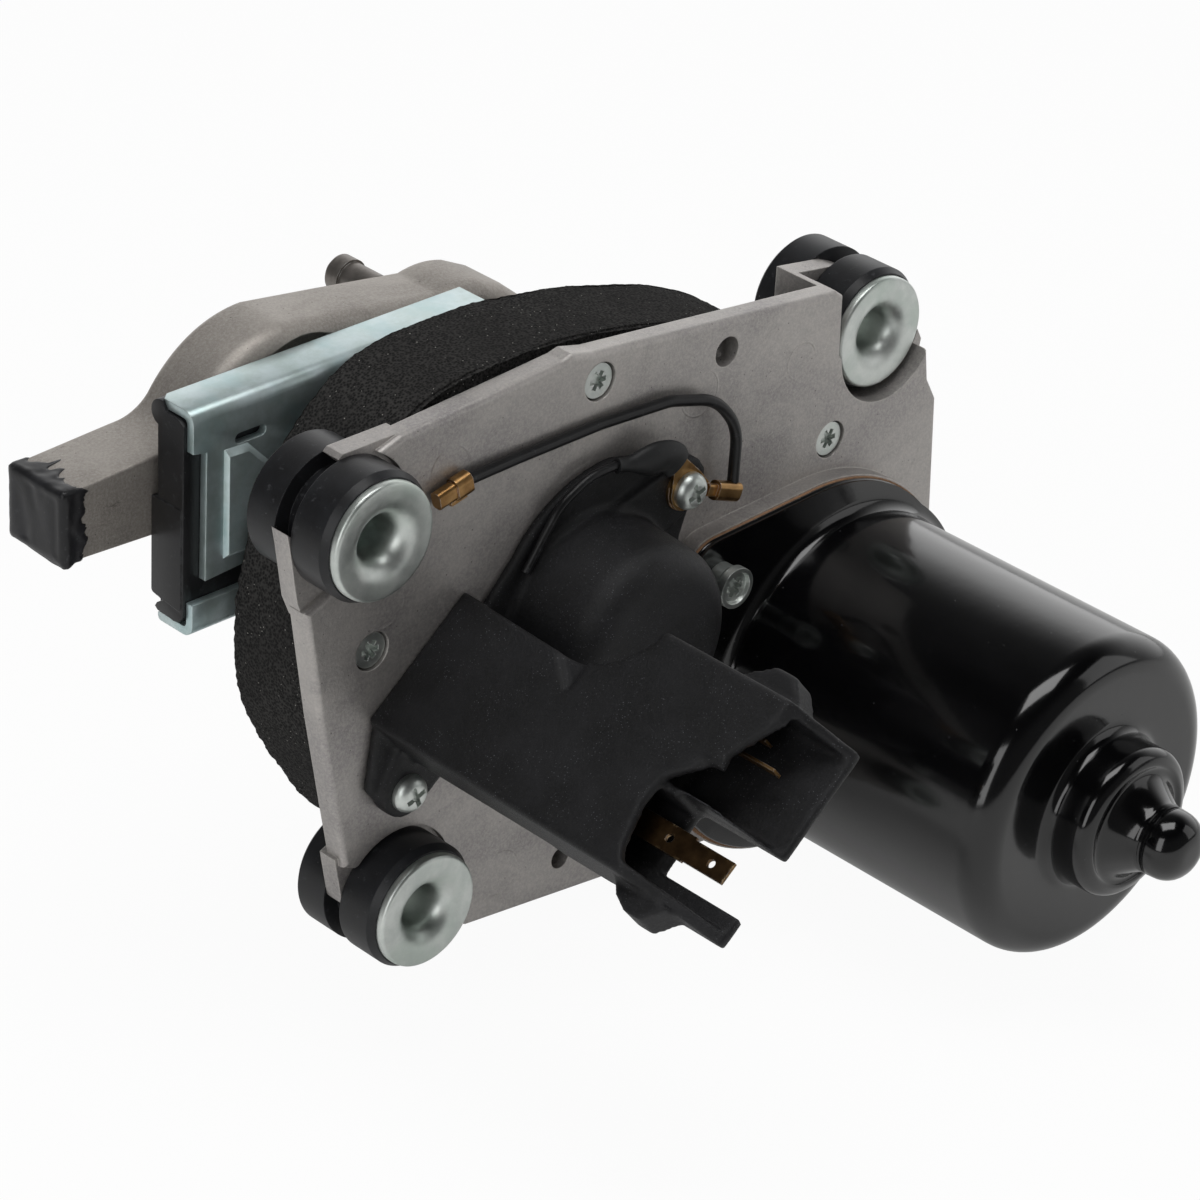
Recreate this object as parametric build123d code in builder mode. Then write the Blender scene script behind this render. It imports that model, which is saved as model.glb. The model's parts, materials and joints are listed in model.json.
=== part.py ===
from build123d import *
from math import acos, atan2, cos, degrees, hypot, pi, radians, sin, sqrt, tan
import os

os.makedirs("parts", exist_ok=True)

# Single-arm windscreen wiper motor, in millimetres.
# X runs along the slide rail, Y from the motor towards the arm, Z upwards.
# The origin is the middle of the left mounting sleeve.  Every axis of the drive is parallel to Y,
# so the main places are (x, z) pairs.  Depths are counted along Y from the sleeve's front end.
SLEEVE_MIDDLE = 14.2

# Mounting plate
PLATE_FRONT = 9.6
PLATE_BACK = 15.7
EAR_FRONT = 11.3
SEAT_FRONT = 5.7
RIM_BACK = 14.3
PLATE_ROUND = 1.3
LEFT_MOUNT = (0.0, 0.0)
LOWER_MOUNT = (14.3, -86.5)
RIGHT_MOUNT = (146.1, -6.8)
RIGHT_SETBACK = 12.0
MOUNT_SLOT_ANGLES = {"left": 137, "lower": 222, "right": 33}

# Rubber mounts and their steel sleeves
SLEEVE_FLANGE_R = 12.0
SLEEVE_BORE_R = 4.2
SLEEVE_R = 5.6
SLEEVE_LENGTH = 25.0
FLANGE_REAR = 1.8
COLLAR_R = 13.2
GROOVE_R = 9.7
COLLAR_BACK = 24.3

# Motor
CAN_AXIS = (131.3, -75.5)
CAN_R = 34.8
CAN_WALL = 1.8
CAN_END = -68.5
FLANGE_FRONT = 3.8
FLANGE_BACK = 5.3
CAN_SCREW = (94.0, -42.3)
SHAFT_R = 4.0

# Gear train behind the plate
MODULE = 1.25
GEAR_AXIS = (68.5, -37.4)
MOTOR_PINION_TEETH = 10
IDLER_TEETH = 44
IDLER_PINION_TEETH = 12
MAIN_TEETH = 52

# Output head and stroke mechanism
OUTPUT_AXIS = (44.0, -10.5)
SWEEP = 105.0
LEVER_R = 10.0
STROKE_MODULE = 1.0
SUN_TEETH = 18
PLANET_TEETH = 12
STROKE_CRANK_R = 14.0

# Slide rail and arm
RAIL_FRONT = 41.0
RAIL_DEPTH = 9.6
RAIL_SHEET = 1.8
RAIL_LEFT = -11.5
RAIL_RIGHT = 64.0
RAIL_TOP = 12.0
RAIL_BOTTOM = -33.0
ARM_FRONT = 52.0
ARM_BACK = 68.0

# Foam seal and gear case
FOAM_FRONT = 16.2
FOAM_BACK = 38.6
CASE_BACK = 34.4
CASE_FLOOR = 31.4
CASE_WALL = 2.6

# Moulded cover: its connector block is turned about Y, u runs along the block and v out of its top face
BLOCK_CORNER = (29.2, -24.5)
BLOCK_TURN = 39.7
BLOCK_THICK = 14.0
DOME_AXIS = (60.2, -39.1)
DOME_R = 21.4
DOME_FRONT = -14.0
COVER_FLANGE = 7.4
COVER_PAD = 5.4
TOP_SCREW = (83.4, -18.6)
LOW_SCREW = (12.5, -61.0)

PLATE_SCREWS = [(63.0, 9.3), (130.5, -25.2), (6.2, -29.5)]
FIT = 0.04


def across(depth):
    """Sketch plane square to the drive axes at a depth; positive extrusions run forwards, to -Y."""
    return Plane.XZ.offset(SLEEVE_MIDDLE - depth)


def turning(centre):
    """Sketch plane through an axis parallel to Y: local x is the radius and local y the depth."""
    return Plane(origin=(centre[0], -SLEEVE_MIDDLE, centre[1]), x_dir=(1, 0, 0), z_dir=(0, 0, 1))


def y_axis(centre):
    return Axis((centre[0], 0, centre[1]), (0, 1, 0))


def at(x, depth, z):
    """Point given by its depth instead of its y value."""
    return (x, depth - SLEEVE_MIDDLE, z)


def polar(centre, radius, angle):
    return (centre[0] + radius * cos(radians(angle)), centre[1] + radius * sin(radians(angle)))


def bearing_angle(start, end):
    return degrees(atan2(end[1] - start[1], end[0] - start[0]))


def save(builder, label):
    builder.part.label = label
    export_step(builder.part, f"parts/{label}.step")


def spur_outline(centre, teeth, module, phase, steps=1):
    """Outline of a spur gear with one tooth centred on the angle phase, stub teeth and some backlash."""
    pressure = radians(25)
    pitch_r = module * teeth / 2
    base_r = pitch_r * cos(pressure)
    tip_r = pitch_r + 0.8 * module
    root_r = pitch_r - 1.08 * module
    half_at_pitch = 0.43 * pi / teeth
    involute_at_pitch = tan(pressure) - pressure

    def half_angle(radius):
        flank = acos(min(1.0, base_r / max(radius, base_r)))
        return half_at_pitch + involute_at_pitch - (tan(flank) - flank)

    start_r = max(root_r, base_r)
    radii = [root_r] + [start_r + (tip_r - start_r) * k / steps for k in range(steps + 1)]
    if start_r == root_r:
        radii = radii[1:]
    points = []
    for tooth in range(teeth):
        middle = radians(phase) + 2 * pi * tooth / teeth
        flank = [(r, half_angle(r)) for r in radii]
        points += [(r, middle - a) for r, a in flank]
        points += [(r, middle + a) for r, a in reversed(flank)]
    return [(centre[0] + r * cos(a), centre[1] + r * sin(a)) for r, a in points]


# Angles and places that the linkage and the gear meshes follow from
motor_to_main = hypot(GEAR_AXIS[0] - CAN_AXIS[0], GEAR_AXIS[1] - CAN_AXIS[1])
first_centres = MODULE * (MOTOR_PINION_TEETH + IDLER_TEETH) / 2
second_centres = MODULE * (IDLER_PINION_TEETH + MAIN_TEETH) / 2
along = (first_centres**2 - second_centres**2 + motor_to_main**2) / (2 * motor_to_main)
lean = degrees(acos(along / first_centres))
IDLER_AXIS = polar(CAN_AXIS, first_centres, bearing_angle(CAN_AXIS, GEAR_AXIS) + lean)

motor_pinion_phase = bearing_angle(CAN_AXIS, IDLER_AXIS)
idler_phase = bearing_angle(IDLER_AXIS, CAN_AXIS) + 180 / IDLER_TEETH
idler_pinion_phase = bearing_angle(IDLER_AXIS, GEAR_AXIS)
main_phase = bearing_angle(GEAR_AXIS, IDLER_AXIS) + 180 / MAIN_TEETH

LEVER_ANGLE = bearing_angle(OUTPUT_AXIS, GEAR_AXIS) + 90 + SWEEP / 2
LEVER_PIN = polar(OUTPUT_AXIS, LEVER_R, LEVER_ANGLE)
far_reach = hypot(GEAR_AXIS[0] - LEVER_PIN[0], GEAR_AXIS[1] - LEVER_PIN[1])
near_pin = polar(OUTPUT_AXIS, LEVER_R, LEVER_ANGLE - SWEEP)
near_reach = hypot(GEAR_AXIS[0] - near_pin[0], GEAR_AXIS[1] - near_pin[1])
CRANK_R = (far_reach - near_reach) / 2
CRANK_PIN = polar(GEAR_AXIS, CRANK_R, bearing_angle(GEAR_AXIS, LEVER_PIN))

stroke_centres = STROKE_MODULE * (SUN_TEETH + PLANET_TEETH) / 2
PLANET_AXIS = (OUTPUT_AXIS[0] - stroke_centres, OUTPUT_AXIS[1])
sun_phase = 180
planet_phase = 180 / PLANET_TEETH
STROKE_ANGLE = 180 + SWEEP * SUN_TEETH / PLANET_TEETH / 2
STROKE_PIN = polar(PLANET_AXIS, STROKE_CRANK_R, STROKE_ANGLE)

MOUNTS = {
    "left": (LEFT_MOUNT, 0.0),
    "lower": (LOWER_MOUNT, 0.0),
    "right": (RIGHT_MOUNT, RIGHT_SETBACK),
}

CASE_LOBES = [
    (GEAR_AXIS, MODULE * MAIN_TEETH / 2 + 2.6),
    (IDLER_AXIS, MODULE * IDLER_TEETH / 2 + 2.6),
    (CAN_AXIS, 12.0),
    (OUTPUT_AXIS, 20.4),
]


def toward_case(spot):
    """Inner end of a screw lug, on the line from the screw to the nearest gear's axis."""
    return polar(spot, 24, bearing_angle(spot, IDLER_AXIS if spot[0] > 100 else GEAR_AXIS))


# outline of the deep cup that sets the right mount back; its upper right side stays open
CUP_OUTLINE = [(130.3, 7.1), (142.6, 5.2), (147.6, 3), (156, -4), (161, -13.2), (159.8, -19.5), (146, -24.5)]
CUP_OUTLINE += [(133.5, -20), (130.3, -10)]

# ---------------------------------------------------------------- mounting plate (die-cast aluminium)
with BuildPart() as mounting_plate:
    with BuildSketch(across(RIM_BACK)):
        with BuildLine():
            Polyline((-10.5, -15.7), (-1.5, -12), (6, 12), (12.3, 14), (53, 16.7), (55.6, 17.3), (61.5, 15.9))
            Polyline((61.5, 15.9), (129.5, 8.4), (131.4, 7), (131.9, -6.8))
            Polyline((131.9, -6.8), (158.8, -13.6), (159.9, -20.7), (162.9, -26), (164.9, -56.1), (165.6, -80))
            RadiusArc((165.6, -80), (135, -112.6), 35.5)
            Polyline((135, -112.6), (109.7, -112), (33.9, -103.1), (18, -84), (0.8, -76), (-1.6, -64.5))
            Polyline((-1.6, -64.5), (-6.4, -40.4), (-10.5, -15.7))
        make_face()
    extrude(amount=RIM_BACK - PLATE_FRONT)
    fillet(mounting_plate.edges().group_by(Axis.Y)[0], PLATE_ROUND)
    # raised seat on the back for the gear case and its screw lugs
    with BuildSketch(across(PLATE_BACK)):
        for centre, radius in CASE_LOBES:
            with Locations(centre):
                Circle(radius + CASE_WALL + 1)
        make_hull()
    extrude(amount=PLATE_BACK - RIM_BACK + 0.5)
    for spot in PLATE_SCREWS:
        with BuildSketch(across(PLATE_BACK)):
            with Locations(spot, toward_case(spot)):
                Circle(5.6)
            make_hull()
        extrude(amount=PLATE_BACK - RIM_BACK + 0.5)
    # raised seat for the motor, with a lug at each end of its screw line
    with BuildSketch(across(PLATE_BACK)):
        with Locations((124, -74)):
            Circle(42.3)
        with Locations(CAN_SCREW, (2 * CAN_AXIS[0] - CAN_SCREW[0], 2 * CAN_AXIS[1] - CAN_SCREW[1])):
            Circle(9.3)
        make_hull()
    extrude(amount=PLATE_BACK - SEAT_FRONT)
    # ears for the left and lower mounts, set back from the front face
    with BuildSketch(across(PLATE_BACK)):
        with BuildLine():
            Polyline((13.5, 14), (-1, 14), (-14, 2), (-13.2, -2), (-11.2, -13.8), (-9.3, -18.3), (2, -13), (14.5, 9))
            Line((14.5, 9), (13.5, 14))
        make_face()
    extrude(amount=PLATE_BACK - EAR_FRONT)
    with BuildSketch(across(PLATE_BACK)):
        with BuildLine():
            Polyline((-0.3, -74.3), (0.2, -77), (1.8, -85), (5, -88.7), (15, -104.8), (26, -104.6), (34, -102))
            Polyline((34, -102), (20, -80), (4, -72.5), (-0.3, -74.3))
        make_face()
    extrude(amount=PLATE_BACK - EAR_FRONT)
    # deep cup for the right mount
    with BuildSketch(across(PLATE_BACK + RIGHT_SETBACK)):
        with BuildLine():
            Polyline(*CUP_OUTLINE, close=True)
        make_face()
    extrude(amount=PLATE_BACK + RIGHT_SETBACK - RIM_BACK + 0.5)
    for name, (centre, setback) in MOUNTS.items():
        # room for the front collar, and the slot that the rubber neck is pushed into
        with BuildSketch(across(EAR_FRONT + setback)):
            with Locations(centre):
                Circle(COLLAR_R + 0.9)
            if name == "right":
                with Locations((centre[0] + 12, centre[1] + 20)):
                    Rectangle(24 + 2 * (COLLAR_R + 0.9), 40)
        extrude(amount=40, mode=Mode.SUBTRACT)
        with BuildSketch(across(PLATE_BACK + setback + 1)):
            with Locations(centre):
                Circle(GROOVE_R + 0.15)
            with Locations(polar(centre, 12, MOUNT_SLOT_ANGLES[name])):
                Rectangle(24, 16.6, rotation=MOUNT_SLOT_ANGLES[name])
        extrude(amount=10, mode=Mode.SUBTRACT)
    # recesses and holes
    with BuildSketch(across(PLATE_FRONT + 2.2)):
        with Locations(*PLATE_SCREWS):
            Circle(4.1)
    extrude(amount=10, mode=Mode.SUBTRACT)
    with BuildSketch(across(PLATE_BACK + 1)):
        with Locations(*PLATE_SCREWS):
            Circle(2.1)
        with Locations((97.9, 4.9)):
            Circle(3.2)
        with Locations((59.1, -97.2)):
            Circle(2.4)
        with Locations(TOP_SCREW, LOW_SCREW):
            Circle(1.95)
        with Locations(CAN_SCREW, (2 * CAN_AXIS[0] - CAN_SCREW[0], 2 * CAN_AXIS[1] - CAN_SCREW[1])):
            Circle(2.1)
        with Locations(CAN_AXIS):
            Circle(8.5)
        with Locations((GEAR_AXIS[0] - 19, GEAR_AXIS[1])):
            Rectangle(10, 22)
    extrude(amount=20, mode=Mode.SUBTRACT)
    # blind holes for the two gear axles
    with BuildSketch(across(PLATE_BACK)):
        with Locations(GEAR_AXIS, IDLER_AXIS):
            Circle(3.0)
    extrude(amount=4.5, mode=Mode.SUBTRACT)
save(mounting_plate, "mounting_plate")

# ---------------------------------------------------------------- rubber mounts and steel sleeves
for name, (centre, setback) in MOUNTS.items():
    with BuildPart() as grommet:
        with BuildSketch(turning(centre)):
            with BuildLine():
                Polyline(
                    (SLEEVE_R, setback + FLANGE_REAR), (COLLAR_R - 0.9, setback + FLANGE_REAR), (COLLAR_R, setback + 3.4),
                    (COLLAR_R, setback + EAR_FRONT - 0.1), (GROOVE_R, setback + EAR_FRONT - 0.1),
                    (GROOVE_R, setback + PLATE_BACK + 0.1), (COLLAR_R, setback + PLATE_BACK + 0.1),
                    (COLLAR_R, setback + COLLAR_BACK - 0.8), (COLLAR_R - 0.8, setback + COLLAR_BACK),
                    (SLEEVE_R, setback + COLLAR_BACK), (SLEEVE_R, setback + FLANGE_REAR),
                )
            make_face()
        revolve(axis=y_axis(centre))
    save(grommet, f"grommet_{name}")

    with BuildPart() as sleeve:
        with BuildSketch(turning(centre)):
            with BuildLine():
                Line((SLEEVE_FLANGE_R, setback + 0.4), (SLEEVE_FLANGE_R, setback + FLANGE_REAR))
                Line((SLEEVE_FLANGE_R, setback + FLANGE_REAR), (SLEEVE_R, setback + FLANGE_REAR))
                Line((SLEEVE_R, setback + FLANGE_REAR), (SLEEVE_R, setback + SLEEVE_LENGTH))
                Line((SLEEVE_R, setback + SLEEVE_LENGTH), (SLEEVE_BORE_R, setback + SLEEVE_LENGTH))
                Line((SLEEVE_BORE_R, setback + SLEEVE_LENGTH), (SLEEVE_BORE_R, setback + 3.4))
                ThreePointArc((SLEEVE_BORE_R, setback + 3.4), (4.9, setback + 1.3), (6.6, setback + 0.3))
                ThreePointArc((6.6, setback + 0.3), (9.2, setback), (SLEEVE_FLANGE_R, setback + 0.4))
            make_face()
        revolve(axis=y_axis(centre))
    save(sleeve, f"sleeve_{name}")

# ---------------------------------------------------------------- gear case behind the plate
with BuildPart() as gear_case:
    with BuildSketch(across(CASE_BACK)):
        for centre, radius in CASE_LOBES:
            with Locations(centre):
                Circle(radius + CASE_WALL)
        make_hull()
    extrude(amount=CASE_BACK - PLATE_BACK - 0.05)
    with BuildSketch(across(CASE_BACK)):
        with Locations(OUTPUT_AXIS):
            Circle(7.0)
    extrude(amount=-4.8)
    # lugs for the plate screws
    for spot in PLATE_SCREWS:
        with BuildSketch(across(PLATE_BACK + 6)):
            with Locations(spot, toward_case(spot)):
                Circle(5.2)
            make_hull()
        extrude(amount=5.95)
    with BuildSketch(across(CASE_FLOOR)):
        for centre, radius in CASE_LOBES:
            with Locations(centre):
                Circle(radius)
        make_hull()
    extrude(amount=CASE_FLOOR, mode=Mode.SUBTRACT)
    with BuildSketch(across(PLATE_BACK + 7)):
        with Locations(*PLATE_SCREWS):
            Circle(1.7)
    extrude(amount=10, mode=Mode.SUBTRACT)
    with BuildSketch(across(CASE_BACK + 6)):
        with Locations(OUTPUT_AXIS):
            Circle(5.5)
    extrude(amount=20, mode=Mode.SUBTRACT)
save(gear_case, "gear_case")

# ---------------------------------------------------------------- foam seal round the gear case
with BuildPart() as foam_seal:
    with BuildSketch(across(FOAM_BACK)):
        with BuildLine():
            Spline(
                (19.3, -83.5), (7.3, -68.1), (-1.0, -52), (-3.4, -37), (0.1, -20.3), (10, -3), (28, 9.5), (52, 14.5),
                (72.2, 14.5), (89.9, 11.3), (107, 5.8), (122, -2.8), (139, -22), (150, -48), (152, -76), (142, -97),
                (122, -104), (84, -101), (46, -99), periodic=True,
            )
        make_face()
    extrude(amount=FOAM_BACK - FOAM_FRONT)
    with BuildSketch(across(FOAM_BACK)):
        for centre, radius in CASE_LOBES:
            with Locations(centre):
                Circle(radius + CASE_WALL + 0.4)
        make_hull()
    extrude(amount=40, mode=Mode.SUBTRACT)
    for spot in PLATE_SCREWS:
        with BuildSketch(across(PLATE_BACK + 6.6)):
            with Locations(spot, toward_case(spot)):
                Circle(5.8)
            make_hull()
        extrude(amount=10, mode=Mode.SUBTRACT)
    for name, (centre, setback) in MOUNTS.items():
        with BuildSketch(across(COLLAR_BACK + setback + 1.2)):
            with Locations(centre):
                Circle(COLLAR_R + 0.8)
        extrude(amount=40, mode=Mode.SUBTRACT)
    # room for the deep cup of the right mount
    with BuildSketch(across(FOAM_BACK)):
        with BuildLine():
            Polyline((129.7, 16), (129.7, -10.2), (133, -20.6), (146, -25.2), (170, -25.2), (170, 16), (129.7, 16))
        make_face()
    extrude(amount=40, mode=Mode.SUBTRACT)
save(foam_seal, "foam_seal")

# ---------------------------------------------------------------- motor can, gasket, magnets
with BuildPart() as motor_can:
    with BuildSketch(turning(CAN_AXIS)):
        with BuildLine():
            # dimpled ball end, neck and flared foot
            ThreePointArc((0, -92.8), (6.4, -86.4), (5.4, -82.96))
            Polyline((5.4, -82.96), (5.0, -82.5), (5.6, -82.0), (5.3, -81.5))
            ThreePointArc((5.3, -81.5), (7.0, -79.2), (10.5, -78.2))
            Line((10.5, -78.2), (12.4, -78.2))
            # bearing cup with a rounded rim and a blend into the end face
            Line((12.4, -78.2), (13.2, -78.6))
            ThreePointArc((13.2, -78.6), (15.25, -77.8), (16.1, -75.8))
            Line((16.1, -75.8), (16.1, -71.2))
            ThreePointArc((16.1, -71.2), (16.89, -69.29), (18.8, CAN_END))
            Line((18.8, CAN_END), (28.2, CAN_END))
            ThreePointArc((28.2, CAN_END), (32.87, -66.57), (CAN_R, -61.9))
            Polyline((CAN_R, -61.9), (CAN_R, FLANGE_BACK), (CAN_R - CAN_WALL, FLANGE_BACK))
            Polyline((CAN_R - CAN_WALL, FLANGE_BACK), (CAN_R - CAN_WALL, -62.2), (28.4, -66.7), (17, -66.7))
            Polyline((17, -66.7), (14.2, -68.6), (14.2, -75.4), (8.4, -75.4), (3.6, -79.6), (3.6, -86.4))
            Polyline((3.6, -86.4), (0, -88.6), (0, -92.8))
        make_face()
    revolve(axis=y_axis(CAN_AXIS))
    with BuildSketch(across(FLANGE_BACK)):
        with Locations((124, -74)):
            Circle(41.3)
        with Locations(CAN_SCREW, (2 * CAN_AXIS[0] - CAN_SCREW[0], 2 * CAN_AXIS[1] - CAN_SCREW[1])):
            Circle(8.4)
        make_hull()
        with Locations(CAN_AXIS):
            Circle(CAN_R - CAN_WALL, mode=Mode.SUBTRACT)
        with Locations(CAN_SCREW, (2 * CAN_AXIS[0] - CAN_SCREW[0], 2 * CAN_AXIS[1] - CAN_SCREW[1])):
            Circle(2.3, mode=Mode.SUBTRACT)
    extrude(amount=FLANGE_BACK - FLANGE_FRONT)
save(motor_can, "motor_can")

with BuildPart() as can_gasket:
    with BuildSketch(across(SEAT_FRONT)):
        with Locations((124, -74)):
            Circle(41.9)
        with Locations(CAN_SCREW, (2 * CAN_AXIS[0] - CAN_SCREW[0], 2 * CAN_AXIS[1] - CAN_SCREW[1])):
            Circle(8.9)
        make_hull()
        with Locations(CAN_AXIS):
            Circle(CAN_R - CAN_WALL, mode=Mode.SUBTRACT)
        with Locations(CAN_SCREW, (2 * CAN_AXIS[0] - CAN_SCREW[0], 2 * CAN_AXIS[1] - CAN_SCREW[1])):
            Circle(2.3, mode=Mode.SUBTRACT)
    extrude(amount=SEAT_FRONT - FLANGE_BACK)
save(can_gasket, "can_gasket")

MAGNET_OUTER = CAN_R - CAN_WALL - 0.02
with BuildPart() as magnets:
    for side in (90, 270):
        with BuildSketch(across(-12)):
            with BuildLine():
                for radius in (MAGNET_OUTER, MAGNET_OUTER - 6.2):
                    ThreePointArc(*[polar(CAN_AXIS, radius, side + a) for a in (-62, 0, 62)])
                for a in (-62, 62):
                    Line(polar(CAN_AXIS, MAGNET_OUTER, side + a), polar(CAN_AXIS, MAGNET_OUTER - 6.2, side + a))
            make_face()
        extrude(amount=42)
save(magnets, "magnets")

# ---------------------------------------------------------------- armature
CORE_R = MAGNET_OUTER - 6.2 - 0.7
SLOTS = 12
with BuildPart() as armature_shaft:
    with BuildSketch(across(25.5)):
        with Locations(CAN_AXIS):
            Circle(SHAFT_R)
    extrude(amount=25.5 + 73.5)
    with BuildSketch(across(25.6)):
        with BuildLine():
            Polyline(*spur_outline(CAN_AXIS, MOTOR_PINION_TEETH, MODULE, motor_pinion_phase, 3), close=True)
        make_face()
    extrude(amount=4.4)
save(armature_shaft, "armature_shaft")

with BuildPart() as armature_core:
    with BuildSketch(across(-14)):
        with Locations(CAN_AXIS):
            Circle(CORE_R)
            with PolarLocations(CORE_R - 5, SLOTS):
                SlotOverall(7.6, 3.4, rotation=0, mode=Mode.SUBTRACT)
            with PolarLocations(CORE_R, SLOTS):
                Rectangle(4, 1.6, mode=Mode.SUBTRACT)
            Circle(SHAFT_R, mode=Mode.SUBTRACT)
    extrude(amount=36)
save(armature_core, "armature_core")

with BuildPart() as armature_windings:
    for inner, outer in ((-50, -57), (-14, -8.6)):
        edge = outer + 1.8 if outer < inner else outer - 1.8
        with BuildSketch(turning(CAN_AXIS)):
            with BuildLine():
                Polyline((9.5, inner), (CORE_R - 3, inner), (CORE_R - 3, edge), (CORE_R - 4.8, outer))
                Polyline((CORE_R - 4.8, outer), (9.5, outer), (9.5, inner))
            make_face()
        revolve(axis=y_axis(CAN_AXIS))
    with BuildSketch(across(-14)):
        with Locations(CAN_AXIS):
            with PolarLocations(CORE_R - 5, SLOTS):
                SlotOverall(6.8, 2.8)
    extrude(amount=36)
save(armature_windings, "armature_windings")

with BuildPart() as commutator:
    with BuildSketch(across(2.6)):
        with Locations(CAN_AXIS):
            Circle(9.4)
            with PolarLocations(9.4, SLOTS):
                Rectangle(1.6, 0.6, mode=Mode.SUBTRACT)
            Circle(SHAFT_R, mode=Mode.SUBTRACT)
    extrude(amount=11)
save(commutator, "commutator")

# ---------------------------------------------------------------- bearings and brush gear
with BuildPart() as end_bush:
    with BuildSketch(across(-70.6)):
        with Locations(CAN_AXIS):
            Circle(14.2)
            Circle(SHAFT_R + FIT, mode=Mode.SUBTRACT)
    extrude(amount=4.8)
    with BuildSketch(across(-66.6)):
        with Locations(CAN_AXIS):
            Circle(8.5)
            Circle(SHAFT_R + FIT, mode=Mode.SUBTRACT)
    extrude(amount=4.0)
save(end_bush, "end_bush")

with BuildPart() as plate_bush:
    with BuildSketch(across(PLATE_BACK)):
        with Locations(CAN_AXIS):
            Circle(8.5)
            Circle(SHAFT_R + FIT, mode=Mode.SUBTRACT)
    extrude(amount=PLATE_BACK - SEAT_FRONT - 1)
save(plate_bush, "plate_bush")

with BuildPart() as brush_holder:
    with BuildSketch(across(SEAT_FRONT - 0.05)):
        with Locations(CAN_AXIS):
            Circle(32.8)
            Circle(10.6, mode=Mode.SUBTRACT)
    extrude(amount=1.9)
    for side in (0, 180):
        with BuildSketch(across(3.75)):
            with Locations(polar(CAN_AXIS, 17.5, side)):
                Rectangle(12, 9)
        extrude(amount=9)
        with BuildSketch(across(2.4)):
            with Locations(polar(CAN_AXIS, 17.5, side)):
                Rectangle(13, 6.2)
        extrude(amount=6.2, mode=Mode.SUBTRACT)
save(brush_holder, "brush_holder")

with BuildPart() as brushes:
    for side in (0, 180):
        with BuildSketch(across(2.3)):
            with Locations(polar(CAN_AXIS, 9.6 + 5, side)):
                Rectangle(10, 6)
        extrude(amount=6)
save(brushes, "brushes")

# ---------------------------------------------------------------- gear train
with BuildPart() as idler_gear:
    with BuildSketch(across(24.7)):
        with BuildLine():
            Polyline(*spur_outline(IDLER_AXIS, IDLER_TEETH, MODULE, idler_phase), close=True)
        make_face()
    extrude(amount=3.3)
    with BuildSketch(across(21.4)):
        with BuildLine():
            Polyline(*spur_outline(IDLER_AXIS, IDLER_PINION_TEETH, MODULE, idler_pinion_phase, 3), close=True)
        make_face()
    extrude(amount=5.1)
    with BuildSketch(across(24.7)):
        with Locations(IDLER_AXIS):
            Circle(3.0 + FIT)
            with PolarLocations(17, 6):
                Circle(4)
    extrude(amount=10, mode=Mode.SUBTRACT)
save(idler_gear, "idler_gear")

with BuildPart() as main_gear:
    with BuildSketch(across(20.8)):
        with BuildLine():
            Polyline(*spur_outline(GEAR_AXIS, MAIN_TEETH, MODULE, main_phase), close=True)
        make_face()
    extrude(amount=4.2)
    with BuildSketch(across(20.8)):
        with Locations(GEAR_AXIS):
            Circle(3.0 + FIT)
            with PolarLocations(21.5, 6):
                Circle(5)
    extrude(amount=10, mode=Mode.SUBTRACT)
save(main_gear, "main_gear")

with BuildPart() as crank_pin:
    with BuildSketch(across(24.6)):
        with Locations(CRANK_PIN):
            Circle(2.5)
    extrude(amount=3.8)
save(crank_pin, "crank_pin")

with BuildPart() as gear_axles:
    with BuildSketch(across(24.3)):
        with Locations(GEAR_AXIS, IDLER_AXIS):
            Circle(3.0)
    extrude(amount=24.3 - PLATE_BACK + 4.4)
save(gear_axles, "gear_axles")

# ---------------------------------------------------------------- drive rod and output head
with BuildPart() as drive_rod:
    with BuildSketch(across(27.6)):
        with Locations(CRANK_PIN, LEVER_PIN):
            Circle(4.2)
        make_hull()
        with Locations(CRANK_PIN):
            Circle(5.0)
        with Locations(CRANK_PIN):
            Circle(2.6, mode=Mode.SUBTRACT)
        with Locations(LEVER_PIN):
            Circle(2.2 + FIT, mode=Mode.SUBTRACT)
    extrude(amount=2.6)
save(drive_rod, "drive_rod")

with BuildPart() as output_lever:
    with BuildSketch(across(30.8)):
        with Locations(OUTPUT_AXIS):
            Circle(7.5)
        with Locations(LEVER_PIN):
            Circle(4.4)
        make_hull()
        with Locations(OUTPUT_AXIS):
            Circle(SHAFT_R, mode=Mode.SUBTRACT)
    extrude(amount=2.8)
    with BuildSketch(across(28.0)):
        with Locations(LEVER_PIN):
            Circle(2.2)
    extrude(amount=3.2)
save(output_lever, "output_lever")

with BuildPart() as output_shaft:
    with BuildSketch(across(RAIL_FRONT + RAIL_SHEET)):
        with Locations(OUTPUT_AXIS):
            Circle(SHAFT_R)
    extrude(amount=RAIL_FRONT + RAIL_SHEET - 28.0)
    with BuildSketch(across(RAIL_FRONT)):
        with Locations(OUTPUT_AXIS):
            Circle(6.8)
    extrude(amount=1.5)
    with BuildSketch(across(RAIL_FRONT + RAIL_SHEET + 2.2)):
        with Locations(OUTPUT_AXIS):
            Circle(5.6)
    extrude(amount=2.2)
save(output_shaft, "output_shaft")

with BuildPart() as output_bush:
    with BuildSketch(across(CASE_BACK + 4.8)):
        with Locations(OUTPUT_AXIS):
            Circle(5.5)
            Circle(SHAFT_R + FIT, mode=Mode.SUBTRACT)
    extrude(amount=CASE_BACK + 4.8 - CASE_FLOOR)
save(output_bush, "output_bush")

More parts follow.
